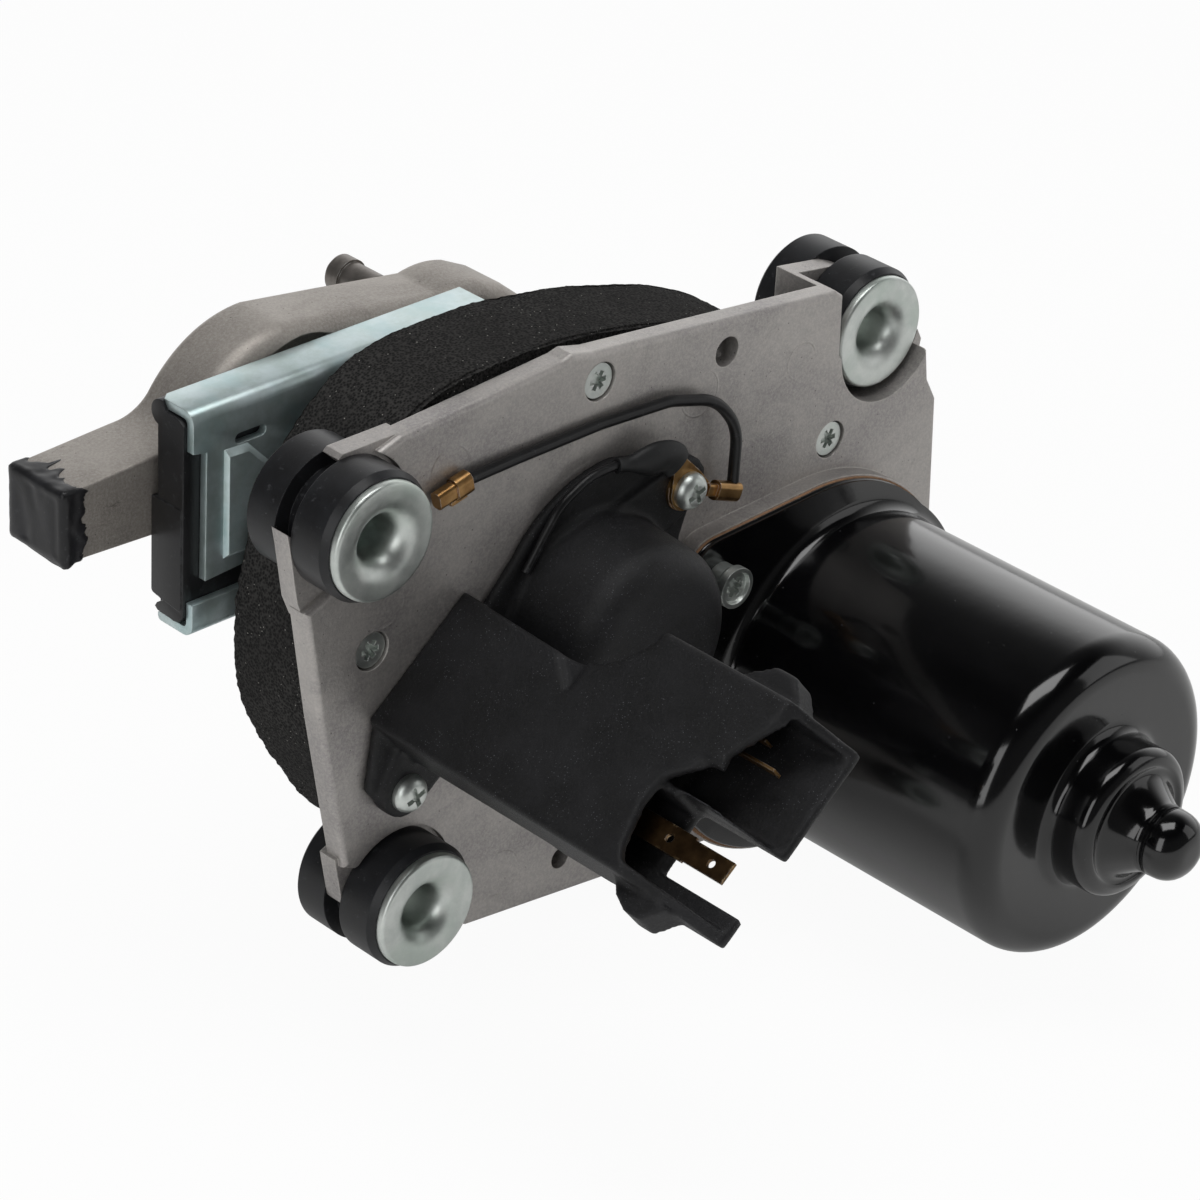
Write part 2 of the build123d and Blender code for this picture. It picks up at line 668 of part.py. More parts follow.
with BuildPart() as fixed_pinion:
    with BuildSketch(across(38.4)):
        with BuildLine():
            Polyline(*spur_outline(OUTPUT_AXIS, SUN_TEETH, STROKE_MODULE, sun_phase, 2), close=True)
        make_face()
        with Locations(OUTPUT_AXIS):
            Circle(7.0, mode=Mode.SUBTRACT)
    extrude(amount=3.6)
save(fixed_pinion, "fixed_pinion")

with BuildPart() as planet_gear:
    with BuildSketch(across(38.4)):
        with BuildLine():
            Polyline(*spur_outline(PLANET_AXIS, PLANET_TEETH, STROKE_MODULE, planet_phase, 2), close=True)
        make_face()
    extrude(amount=3.4)
    with BuildSketch(across(45.8)):
        with Locations(PLANET_AXIS):
            Circle(2.5)
    extrude(amount=7.6)
save(planet_gear, "planet_gear")

with BuildPart() as stroke_crank:
    with BuildSketch(across(48.2)):
        with Locations(PLANET_AXIS):
            Circle(5.0)
        with Locations(STROKE_PIN):
            Circle(3.4)
        make_hull()
    extrude(amount=2.4)
    with BuildSketch(across(ARM_FRONT + 4.6)):
        with Locations(STROKE_PIN):
            Circle(2.2)
    extrude(amount=ARM_FRONT + 4.6 - 48.2)
save(stroke_crank, "stroke_crank")

# ---------------------------------------------------------------- slide rail, slider and arm
rail_middle = (RAIL_TOP + RAIL_BOTTOM) / 2
rail_height = RAIL_TOP - RAIL_BOTTOM
RAIL_LIP = 3.0


def rail_section(x):
    """Plane square to the rail: local x is the depth, local y is z."""
    return Plane(origin=at(x, 0, 0), x_dir=(0, 1, 0), z_dir=(1, 0, 0))


rail_back = RAIL_FRONT + RAIL_DEPTH
with BuildPart() as slide_rail:
    with BuildSketch(rail_section(RAIL_LEFT)):
        with Locations(((RAIL_FRONT + rail_back) / 2, rail_middle)):
            RectangleRounded(RAIL_DEPTH, rail_height, 2.8)
            RectangleRounded(RAIL_DEPTH - 2 * RAIL_SHEET, rail_height - 2 * RAIL_SHEET, 1.0, mode=Mode.SUBTRACT)
        with Locations((rail_back, rail_middle)):
            Rectangle(2 * RAIL_SHEET + 1, rail_height - 2 * RAIL_LIP - 2 * RAIL_SHEET, mode=Mode.SUBTRACT)
    extrude(amount=RAIL_RIGHT - RAIL_LEFT)
    # the web stops short of the left end, and has a slot and the two pivots through it
    with BuildSketch(across(RAIL_FRONT + RAIL_SHEET)):
        with Locations((RAIL_LEFT, rail_middle + 0.95)):
            Rectangle(7.4, 28.3)
        with Locations((2.4, 4.7)):
            SlotOverall(8.0, 2.5)
        with Locations(OUTPUT_AXIS):
            Circle(SHAFT_R)
        with Locations(PLANET_AXIS):
            Circle(2.5 + FIT)
    extrude(amount=5, mode=Mode.SUBTRACT)
    # upright rib pressed out of the web beside its left end
    with BuildSketch(Plane(origin=at(0, 0, RAIL_BOTTOM + 5), x_dir=(1, 0, 0), z_dir=(0, 0, 1))):
        with BuildLine():
            ThreePointArc((-6.6, RAIL_FRONT + 0.3), (-3.9, RAIL_FRONT - 0.9), (-1.2, RAIL_FRONT + 0.3))
            Line((-1.2, RAIL_FRONT + 0.3), (-6.6, RAIL_FRONT + 0.3))
        make_face()
    extrude(amount=31)
save(slide_rail, "slide_rail")

GLIDE = 0.15
slider_tongue = rail_height - 2 * RAIL_LIP - 2 * RAIL_SHEET - 0.6
SLIDER_LEFT = -11.7
TONGUE_BACK = 50.0
SLIDER_RIGHT = 9.0
with BuildPart() as slider:
    with BuildSketch(rail_section(SLIDER_LEFT)):
        with Locations(((RAIL_FRONT + RAIL_SHEET + rail_back - RAIL_SHEET) / 2, rail_middle)):
            RectangleRounded(
                RAIL_DEPTH - 2 * RAIL_SHEET - 2 * GLIDE, rail_height - 2 * RAIL_SHEET - 2 * GLIDE, 1.2
            )
        with Locations(((rail_back - RAIL_SHEET + TONGUE_BACK) / 2 - 0.5, rail_middle)):
            Rectangle(TONGUE_BACK - rail_back + RAIL_SHEET + 1, slider_tongue)
    extrude(amount=SLIDER_RIGHT - SLIDER_LEFT)
    # the tongue reaches back to the arm behind the rail's open side
    with BuildSketch(rail_section(SLIDER_LEFT + 4)):
        with Locations(((TONGUE_BACK + ARM_FRONT) / 2 - 0.3, rail_middle)):
            Rectangle(ARM_FRONT - TONGUE_BACK + 0.6, slider_tongue)
    extrude(amount=SLIDER_RIGHT - SLIDER_LEFT - 4)
    # shallow step across the upper half of the left end
    with BuildSketch(rail_section(SLIDER_LEFT)):
        with Locations((RAIL_FRONT + 5, rail_middle + 14.5)):
            Rectangle(20, 30)
    extrude(amount=0.5, mode=Mode.SUBTRACT)
save(slider, "slider")

with BuildPart() as arm:
    with BuildSketch(across(ARM_BACK)):
        with BuildLine():
            Polyline((-34.1, -15.7), (-34.1, -0.9), (-9, 0.4))
            ThreePointArc((-9, 0.4), (-4.6, 1.5), (-1.2, 4.2))
            ThreePointArc((-1.2, 4.2), (8.6, 13.4), (21.5, 16.8))
            Line((21.5, 16.8), (62.4, 10.9))
            ThreePointArc((62.4, 10.9), (67.8, 11.5), (73.7, 10.5))
            Polyline((73.7, 10.5), (80, 7.5), (92, -2))
            ThreePointArc((92, -2), (95.4, -8.4), (92, -15))
            Polyline((92, -15), (74, -28), (21.5, -33.6))
            ThreePointArc((21.5, -33.6), (8.6, -30.4), (-1.2, -21.2))
            ThreePointArc((-1.2, -21.2), (-4.6, -18.2), (-9, -16.8))
            Line((-9, -16.8), (-34.1, -15.7))
        make_face()
    extrude(amount=ARM_BACK - ARM_FRONT)
    # round recess in the front face that the stroke crank turns in, and the slot its pin drives
    with BuildSketch(across(ARM_FRONT + 5)):
        with Locations(PLANET_AXIS):
            Circle(24)
    extrude(amount=10, mode=Mode.SUBTRACT)
    with BuildSketch(across(ARM_FRONT + 9)):
        with Locations((STROKE_PIN[0], PLANET_AXIS[1])):
            SlotOverall(2 * STROKE_CRANK_R + 7, 5.2, rotation=90)
    extrude(amount=10, mode=Mode.SUBTRACT)
save(arm, "arm")

HOOK_PIN = (57.9, 7.5)
with BuildPart() as hook_pin:
    with BuildSketch(across(76.5)):
        with Locations(HOOK_PIN):
            Circle(3.5)
    extrude(amount=76.5 - ARM_BACK)
    with BuildSketch(across(80.5)):
        with Locations(HOOK_PIN):
            Circle(4.0)
    extrude(amount=4.6)
    chamfer(hook_pin.edges().filter_by(GeomType.CIRCLE).group_by(Axis.Y)[-1], 1.2)
save(hook_pin, "hook_pin")

# ---------------------------------------------------------------- moulded cover with its connector block
turn = radians(BLOCK_TURN)
u_dir = (cos(turn), 0, sin(turn))
v_dir = (-sin(turn), 0, cos(turn))


def block_level(v):
    """Plane parallel to the block's top face at height v: local x is u, local y is the depth."""
    origin = at(BLOCK_CORNER[0] + v * v_dir[0], 0, BLOCK_CORNER[1] + v * v_dir[2])
    return Plane(origin=origin, x_dir=u_dir, z_dir=v_dir)


def block_side(u):
    """Plane square to u: local x is the depth, local y is v."""
    origin = at(BLOCK_CORNER[0] + u * u_dir[0], 0, BLOCK_CORNER[1] + u * u_dir[2])
    return Plane(origin=origin, x_dir=(0, 1, 0), z_dir=u_dir)


TOP_WALL = 2.2
LOWER_WALL = -BLOCK_THICK + 2.2
SOCKET_LEFT_FLOOR = -46.0
SOCKET_RIGHT_FLOOR = -50.0
with BuildPart() as cover:
    # base flange on the plate
    with BuildSketch(across(PLATE_FRONT)):
        with BuildLine():
            Polyline(
                (40.9, -21.5), (34.5, -28.3), (31, -33), (6.3, -46), (4.6, -59.4), (9.5, -65.8), (18, -66.6), (27, -61),
                (50, -66), (70, -62), (81, -52), (84.5, -40), (86.1, -31), (88.1, -25.4), (89.8, -19), (87, -13.4),
                (81, -11.4), (66, -7.8),
            )
            ThreePointArc((66, -7.8), (52.5, -11.2), (40.9, -21.5))
        make_face()
    extrude(amount=PLATE_FRONT - COVER_FLANGE)
    # screw pads
    with BuildSketch(across(PLATE_FRONT)):
        with Locations(TOP_SCREW):
            Circle(6.4)
        with Locations((66, -26)):
            Circle(8)
        make_hull()
    extrude(amount=PLATE_FRONT - COVER_PAD)
    with BuildSketch(across(PLATE_FRONT)):
        with Locations(LOW_SCREW):
            Circle(5.6)
        with Locations((20, -52)):
            Circle(8)
        make_hull()
    extrude(amount=PLATE_FRONT - COVER_PAD)
    # dome over the contact gear
    with BuildSketch(turning(DOME_AXIS)):
        with BuildLine():
            Line((0, PLATE_FRONT), (0, DOME_FRONT))
            Line((0, DOME_FRONT), (DOME_R - 8.2, DOME_FRONT))
            ThreePointArc((DOME_R - 8.2, DOME_FRONT), (DOME_R - 2.85, -11.85), (DOME_R - 0.8, -6.6))
            Line((DOME_R - 0.8, -6.6), (DOME_R, COVER_FLANGE - 2))
            ThreePointArc((DOME_R, COVER_FLANGE - 2), (DOME_R + 0.5, 6.9), (DOME_R + 2, COVER_FLANGE))
            Line((DOME_R + 2, COVER_FLANGE), (DOME_R + 1, PLATE_FRONT))
            Line((DOME_R + 1, PLATE_FRONT), (0, PLATE_FRONT))
        make_face()
    revolve(axis=y_axis(DOME_AXIS))
    # connector block, widening in front of the dome
    with BuildSketch(block_level(0)):
        with BuildLine():
            Polyline((-31, PLATE_FRONT), (0, PLATE_FRONT), (-1, -19))
            ThreePointArc((-1, -19), (2.6, -29.5), (12.4, -35))
            Polyline((12.4, -35), (12.4, -78), (-31, -78), (-31, PLATE_FRONT))
        make_face()
    extrude(amount=-BLOCK_THICK)
    # sloping end walls and the stepped front edge of the top wall
    with BuildSketch(block_side(-40)):
        with BuildLine():
            Polyline((-58, 1), (-58, 0), (-77.6, -11.8), (-90, -11.8), (-90, 1), (-58, 1))
        make_face()
    extrude(amount=40 - 5, mode=Mode.SUBTRACT)
    with BuildSketch(block_side(-5)):
        with BuildLine():
            Polyline((-67, 1), (-67, 0), (-77.6, -11.8), (-90, -11.8), (-90, 1), (-67, 1))
        make_face()
    extrude(amount=30, mode=Mode.SUBTRACT)
    # two sockets between the walls
    with BuildSketch(block_level(-TOP_WALL)):
        with Locations(((-28.6 - 13.2) / 2, (SOCKET_LEFT_FLOOR - 100) / 2)):
            Rectangle(28.6 - 13.2, 100 + SOCKET_LEFT_FLOOR)
        with Locations(((-11.2 + 10.2) / 2, (SOCKET_RIGHT_FLOOR - 100) / 2)):
            Rectangle(21.4, 100 + SOCKET_RIGHT_FLOOR)
    extrude(amount=-(BLOCK_THICK - TOP_WALL - 2.2), mode=Mode.SUBTRACT)
    # cut-out of the top wall's front edge
    with BuildSketch(block_level(1)):
        with BuildLine():
            Polyline(
                (-28.6, -57.4), (-26, -55.7), (-17.4, -53.6), (-11.4, -54.2), (-5.4, -60.6), (-6.5, -63.8),
                (-1.7, -63.1), (9.2, -69), (10.2, -90), (-28.6, -90), (-28.6, -57.4),
            )
        make_face()
    extrude(amount=-(TOP_WALL + 2), mode=Mode.SUBTRACT)
    # open stretch of the lower wall under the wide blade, and the divider cut back
    with BuildSketch(block_level(0)):
        with Locations(((-25 - 11.7) / 2, -57 - 15)):
            Rectangle(25 - 11.7, 30)
    extrude(amount=-BLOCK_THICK - 2, mode=Mode.SUBTRACT)
    # latch lugs on the two end walls
    for lug in (
        [(-31, -55), (-33.8, -57.5), (-35.6, -61), (-35.6, -65), (-31, -69)],
        [(12.4, -50.5), (17.6, -57), (17.6, -62), (12.4, -67)],
    ):
        with BuildSketch(block_level(-4.5)):
            with BuildLine():
                Polyline(*lug, close=True)
            make_face()
        extrude(amount=-7.5)
    # thicker lip under the mouth of the left socket
    with BuildSketch(block_side(-31)):
        with BuildLine():
            Polyline((-31, -13.5), (-31, -14), (-36, -15.6), (-48, -15.5), (-58, -14), (-58, -13.5), (-31, -13.5))
        make_face()
    extrude(amount=14)
    # wedge-shaped dent in the top face beside the dome
    with BuildSketch(block_level(1)):
        with BuildLine():
            Polyline((-1.4, -17.6), (1.0, -24.6), (-7.4, -25.2), (-1.4, -17.6))
        make_face()
    extrude(amount=-2.0, mode=Mode.SUBTRACT)
    # hollow of the dome and of the block behind the sockets
    with BuildSketch(across(PLATE_FRONT)):
        with Locations(DOME_AXIS):
            Circle(DOME_R - 2.2)
    extrude(amount=PLATE_FRONT - DOME_FRONT - 6, mode=Mode.SUBTRACT)
    with BuildSketch(across(PLATE_FRONT)):
        with Locations(DOME_AXIS):
            Circle(DOME_R - 5)
    extrude(amount=PLATE_FRONT - DOME_FRONT - 2.4, mode=Mode.SUBTRACT)
    with BuildSketch(across(PLATE_FRONT)):
        with Locations(TOP_SCREW, LOW_SCREW):
            Circle(1.95)
    extrude(amount=20, mode=Mode.SUBTRACT)
save(cover, "cover")

BLADE_LEVEL = -7.6
with BuildPart() as wide_terminal:
    with BuildSketch(block_level(BLADE_LEVEL)):
        with Locations((-19.5, (-40 - 63) / 2)):
            Rectangle(5.4, 23)
        with Locations((-19.6, (-63 - 73) / 2)):
            Rectangle(4.6, 10)
        with Locations((-19.5, -58), (-19.6, -68.8)):
            Circle(0.85, mode=Mode.SUBTRACT)
    extrude(amount=-0.8)
save(wide_terminal, "wide_terminal")

with BuildPart() as narrow_terminals:
    for u, tip in ((4.4, -64.8), (0.4, -70.2)):
        with BuildSketch(block_level(-4.4)):
            with Locations((u, (tip - 42) / 2)):
                Rectangle(0.6, -42 - tip)
        extrude(amount=-2.8)
save(narrow_terminals, "narrow_terminals")

# ---------------------------------------------------------------- screws
HEAD_R = 3.9
with BuildPart() as cover_screws:
    for spot, seat in ((TOP_SCREW, COVER_PAD - 1.4), (LOW_SCREW, COVER_PAD)):
        with BuildSketch(across(PLATE_BACK - 1)):
            with Locations(spot):
                Circle(1.9)
        extrude(amount=PLATE_BACK - 1 - seat)
        with BuildSketch(turning(spot)):
            with BuildLine():
                Line((0, seat), (HEAD_R, seat))
                Line((HEAD_R, seat), (HEAD_R, seat - 0.9))
                ThreePointArc((HEAD_R, seat - 0.9), (3.2, seat - 2.2), (1.8, seat - 2.8))
                Polyline((1.8, seat - 2.8), (0, seat - 2.8), (0, seat))
            make_face()
        revolve(axis=y_axis(spot))
        with BuildSketch(across(seat - 1.6)):
            with Locations(spot):
                for angle in (20, 110):
                    Rectangle(4.6, 1.1, rotation=angle)
        extrude(amount=2, mode=Mode.SUBTRACT)
save(cover_screws, "cover_screws")

with BuildPart() as can_screws:
    for spot in (CAN_SCREW, (2 * CAN_AXIS[0] - CAN_SCREW[0], 2 * CAN_AXIS[1] - CAN_SCREW[1])):
        with BuildSketch(across(PLATE_BACK - 1)):
            with Locations(spot):
                Circle(2.05)
        extrude(amount=PLATE_BACK - 1 - FLANGE_FRONT)
        with BuildSketch(turning(spot)):
            with BuildLine():
                Polyline((0, FLANGE_FRONT), (3.7, FLANGE_FRONT), (3.7, 1.2), (4.4, 0.4), (4.4, -1.4), (3.5, -1.4))
                Polyline((3.5, -1.4), (3.2, -0.6), (0, -0.6), (0, FLANGE_FRONT))
            make_face()
        revolve(axis=y_axis(spot))
        with BuildSketch(across(0.8)):
            with Locations(spot):
                for angle in (0, 60, 120):
                    Rectangle(4.4, 1.3, rotation=angle)
        extrude(amount=3, mode=Mode.SUBTRACT)
save(can_screws, "can_screws")

with BuildPart() as plate_screws:
    for spot in PLATE_SCREWS:
        with BuildSketch(across(PLATE_BACK + 5)):
            with Locations(spot):
                Circle(1.7)
        extrude(amount=PLATE_BACK + 5 - PLATE_FRONT - 2.2)
        with BuildSketch(across(PLATE_FRONT + 2.2)):
            with Locations(spot):
                Circle(3.7)
        extrude(amount=1.6)
        with BuildSketch(across(PLATE_FRONT + 1.8)):
            with Locations(spot):
                for angle in (0, 60, 120):
                    Rectangle(4.2, 1.1, rotation=angle)
        extrude(amount=3, mode=Mode.SUBTRACT)
save(plate_screws, "plate_screws")

# ---------------------------------------------------------------- park switch under the dome
WINDOW = (GEAR_AXIS[0] - 19, GEAR_AXIS[1])
TRACKS = (-7.0, 0.0, 7.0)
with BuildPart() as contact_board:
    with BuildSketch(across(PLATE_FRONT)):
        with Locations((WINDOW[0] + 4.9, WINDOW[1])):
            Rectangle(17.2, 21)
    extrude(amount=2)
    with BuildSketch(across(PLATE_FRONT)):
        with Locations(*[(WINDOW[0], WINDOW[1] + offset) for offset in TRACKS]):
            Rectangle(0.6, 3)
    extrude(amount=4, mode=Mode.SUBTRACT)
save(contact_board, "contact_board")

with BuildPart() as contact_fingers:
    for offset in TRACKS:
        with BuildSketch(across(15.9)):
            with Locations((WINDOW[0], WINDOW[1] + offset)):
                Rectangle(0.6, 3)
        extrude(amount=15.9 - PLATE_FRONT + 3.5)
        with BuildSketch(across(15.9)):
            with Locations((WINDOW[0] + 2, WINDOW[1] + offset)):
                Rectangle(4.6, 3)
        extrude(amount=0.5)
save(contact_fingers, "contact_fingers")

with BuildPart() as contact_disc:
    with BuildSketch(across(16.6)):
        with Locations(GEAR_AXIS):
            Circle(28)
            Circle(7, mode=Mode.SUBTRACT)
    extrude(amount=0.4)
save(contact_disc, "contact_disc")

# ---------------------------------------------------------------- wires and their terminals
EARTH_R = 1.2
LEAD_R = 0.9


def bend_radii(points, largest=12.0):
    """Bend radius at each inner point of a wire's route, so that each arc takes under half a run."""
    radii = []
    for before, here, after in zip(points, points[1:], points[2:]):
        a = Vector(*here) - Vector(*before)
        b = Vector(*after) - Vector(*here)
        half_turn = radians(a.get_angle(b)) / 2
        radii.append(min(largest, 0.45 * min(a.length, b.length) / tan(half_turn)))
    return radii


EARTH_ROUTE = [
    at(27.4, 7.9, 0.7),
    at(40.6, 8.3, 0.8),
    at(62.4, 8.3, 1.0),
    at(80.5, 7.6, 0.4),
    at(92.4, 6.6, -2.6),
    at(98.2, 5.6, -10.0),
    at(97.4, 5.1, -21.9),
]
with BuildPart() as earth_wire:
    with BuildLine() as earth_path:
        FilletPolyline(*EARTH_ROUTE, radius=bend_radii(EARTH_ROUTE))
    with BuildSketch(Plane(origin=earth_path.line @ 0, z_dir=earth_path.line % 0)):
        Circle(EARTH_R)
    sweep()
save(earth_wire, "earth_wire")

LEAD_ROUTE = [
    at(65.0, 5.9, -7.9),
    at(58.2, 6.2, -8.2),
    at(50.8, 6.3, -12.0),
    at(46.2, 6.3, -18.2),
    at(42.2, 6.3, -23.8),
]
with BuildPart() as lead_wire:
    with BuildLine() as lead_path:
        FilletPolyline(*LEAD_ROUTE, radius=bend_radii(LEAD_ROUTE))
    with BuildSketch(Plane(origin=lead_path.line @ 0, z_dir=lead_path.line % 0)):
        Circle(LEAD_R)
    sweep()
save(lead_wire, "lead_wire")


def pointing(start, end):
    """Plane at start whose normal points to end, both given by depth; local y leans towards the plate."""
    direction = Vector(*at(*end)) - Vector(*at(*start))
    side = Vector(0, 1, 0).cross(direction).normalized()
    return Plane(origin=at(*start), x_dir=side, z_dir=direction.normalized())


# earth wire's bare end: a rolled crimp with its flattened tail towards the left mount
TAIL_START = (27.4, 7.7, 0.7)
TAIL_END = (17.6, 7.7, -1.6)
with BuildPart() as tail_crimp:
    tail = pointing(TAIL_START, TAIL_END)
    with BuildSketch(tail):
        RectangleRounded(4.6, 3.4, 1.4)
    extrude(amount=3.8)
    with BuildSketch(tail.offset(3.6)):
        RectangleRounded(3.6, 2.6, 0.9)
    extrude(amount=4.6)
    with BuildSketch(tail.offset(0.6)):
        with Locations((-3.2, 0.9)):
            Rectangle(0.9, 1.4)
        with Locations((-2.4, 1.2)):
            Rectangle(1.8, 0.6)
    extrude(amount=4)
save(tail_crimp, "tail_crimp")

# two ring terminals stacked under the upper cover screw
RING_SHEET = 0.7
with BuildPart() as ring_terminals:
    with BuildSketch(across(COVER_PAD)):
        with Locations(TOP_SCREW):
            Circle(4.7)
        with Locations((89.6, -20.9)):
            Circle(1.4)
        make_hull()
        with Locations(TOP_SCREW):
            Circle(1.95, mode=Mode.SUBTRACT)
    extrude(amount=RING_SHEET)
    with BuildSketch(across(COVER_PAD - RING_SHEET)):
        with Locations(TOP_SCREW):
            Circle(4.5)
        with Locations((81.2, -12.6)):
            Circle(1.8)
        make_hull()
        with Locations(TOP_SCREW):
            Circle(1.95, mode=Mode.SUBTRACT)
    extrude(amount=RING_SHEET)
    # crimp barrel that takes the end of the earth wire
    barrel = pointing((89.2, 4.5, -20.7), (98.4, 4.9, -24.4))
    with BuildSketch(barrel):
        RectangleRounded(2.6, 1.6, 0.5)
    extrude(amount=3)
    with BuildSketch(barrel.offset(2.6)):
        RectangleRounded(4.0, 3.0, 1.2)
    extrude(amount=7.2)
save(ring_terminals, "ring_terminals")

# shrink-sleeve boot between the lead and the upper ring
with BuildPart() as boot:
    with BuildSketch(pointing((65.0, 5.8, -7.9), (69.4, 5.2, -8.6))):
        Ellipse(1.6, 1.4)
    with BuildSketch(pointing((68.4, 5.3, -8.4), (72, 4.8, -8.8))):
        Ellipse(1.8, 1.5)
    with BuildSketch(pointing((72.8, 4.6, -8.7), (77.0, 4.3, -9.2))):
        Ellipse(3.3, 1.9)
    with BuildSketch(pointing((77.4, 4.3, -9.4), (80.4, 4.2, -11.8))):
        Ellipse(3.5, 1.7)
    with BuildSketch(pointing((80.2, 4.3, -12.2), (81.6, 4.3, -14.3))):
        Ellipse(3.3, 1.2)
    loft()
save(boot, "boot")
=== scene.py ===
import bpy
import bmesh
import json
import math
from mathutils import Matrix, Vector, noise


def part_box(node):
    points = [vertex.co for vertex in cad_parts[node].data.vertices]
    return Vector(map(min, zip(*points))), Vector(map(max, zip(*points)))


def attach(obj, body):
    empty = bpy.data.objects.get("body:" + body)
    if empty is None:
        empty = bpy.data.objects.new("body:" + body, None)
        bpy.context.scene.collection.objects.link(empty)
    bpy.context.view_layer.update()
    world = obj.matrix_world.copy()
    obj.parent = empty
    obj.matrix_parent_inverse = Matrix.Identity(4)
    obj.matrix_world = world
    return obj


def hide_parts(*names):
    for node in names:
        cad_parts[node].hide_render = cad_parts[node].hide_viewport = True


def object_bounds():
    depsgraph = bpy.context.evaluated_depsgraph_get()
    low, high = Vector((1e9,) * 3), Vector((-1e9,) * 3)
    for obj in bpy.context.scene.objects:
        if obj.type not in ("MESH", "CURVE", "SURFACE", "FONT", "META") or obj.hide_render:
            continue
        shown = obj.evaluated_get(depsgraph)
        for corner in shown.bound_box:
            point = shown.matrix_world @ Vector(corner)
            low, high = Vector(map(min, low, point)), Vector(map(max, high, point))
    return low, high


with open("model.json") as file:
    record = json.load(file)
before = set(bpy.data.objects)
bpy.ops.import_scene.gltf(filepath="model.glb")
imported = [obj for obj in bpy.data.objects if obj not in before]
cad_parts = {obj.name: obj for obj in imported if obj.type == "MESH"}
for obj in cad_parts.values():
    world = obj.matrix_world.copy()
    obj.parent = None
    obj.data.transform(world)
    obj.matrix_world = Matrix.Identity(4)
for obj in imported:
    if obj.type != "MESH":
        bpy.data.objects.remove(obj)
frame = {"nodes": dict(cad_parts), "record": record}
CAD_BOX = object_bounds()

MM = 0.001
# All places below are in millimetres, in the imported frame: x right, y back, z up.
PLATE_FACE_Y = -4.6
LATHE_TO_FRAME = -14.2  # turned profiles are drawn by depth, from a plane that far in front of the origin
CAN_AXIS = (131.3, -75.5)
OUTPUT_AXIS = (44.0, -10.5)
PLANET_AXIS = (29.0, -10.5)
MOUNTS = {"left": (0.0, 0.0, 0.0), "lower": (14.3, -86.5, 0.0), "right": (146.1, -6.8, 12.0)}


def srgb(red, green, blue):
    """A colour given as it should look, 0 to 255, as the linear values a shader takes."""
    def linear(value):
        value /= 255
        return value / 12.92 if value <= 0.04045 else ((value + 0.055) / 1.055) ** 2.4
    return (linear(red), linear(green), linear(blue), 1.0)


class Level:
    """A socket that carries one number.  Sums on it add the nodes they need."""

    def __init__(self, finish, socket):
        self.finish = finish
        self.socket = socket

    def sum(self, operation, *values):
        node = self.finish.add("Math", {"operation": operation}, dict(enumerate(values)))
        return Level(self.finish, node.outputs[0])

    def __add__(self, other):
        return self.sum("ADD", self, other)

    def __sub__(self, other):
        return self.sum("SUBTRACT", self, other)

    def __rsub__(self, other):
        return self.sum("SUBTRACT", other, self)

    def __mul__(self, other):
        return self.sum("MULTIPLY", self, other)

    def __pow__(self, other):
        return self.sum("POWER", self, other)

    __radd__ = __add__
    __rmul__ = __mul__

    def most(self, other):
        return self.sum("MAXIMUM", self, other)

    def least(self, other):
        return self.sum("MINIMUM", self, other)

    def size(self):
        return self.sum("ABSOLUTE", self)

    def rise(self, low, high):
        """0 below low, 1 above high, smooth between; high may be the smaller of the two."""
        node = self.finish.add(
            "MapRange",
            {"interpolation_type": "SMOOTHSTEP"},
            {"Value": self, "From Min": low, "From Max": high},
        )
        return Level(self.finish, node.outputs["Result"])


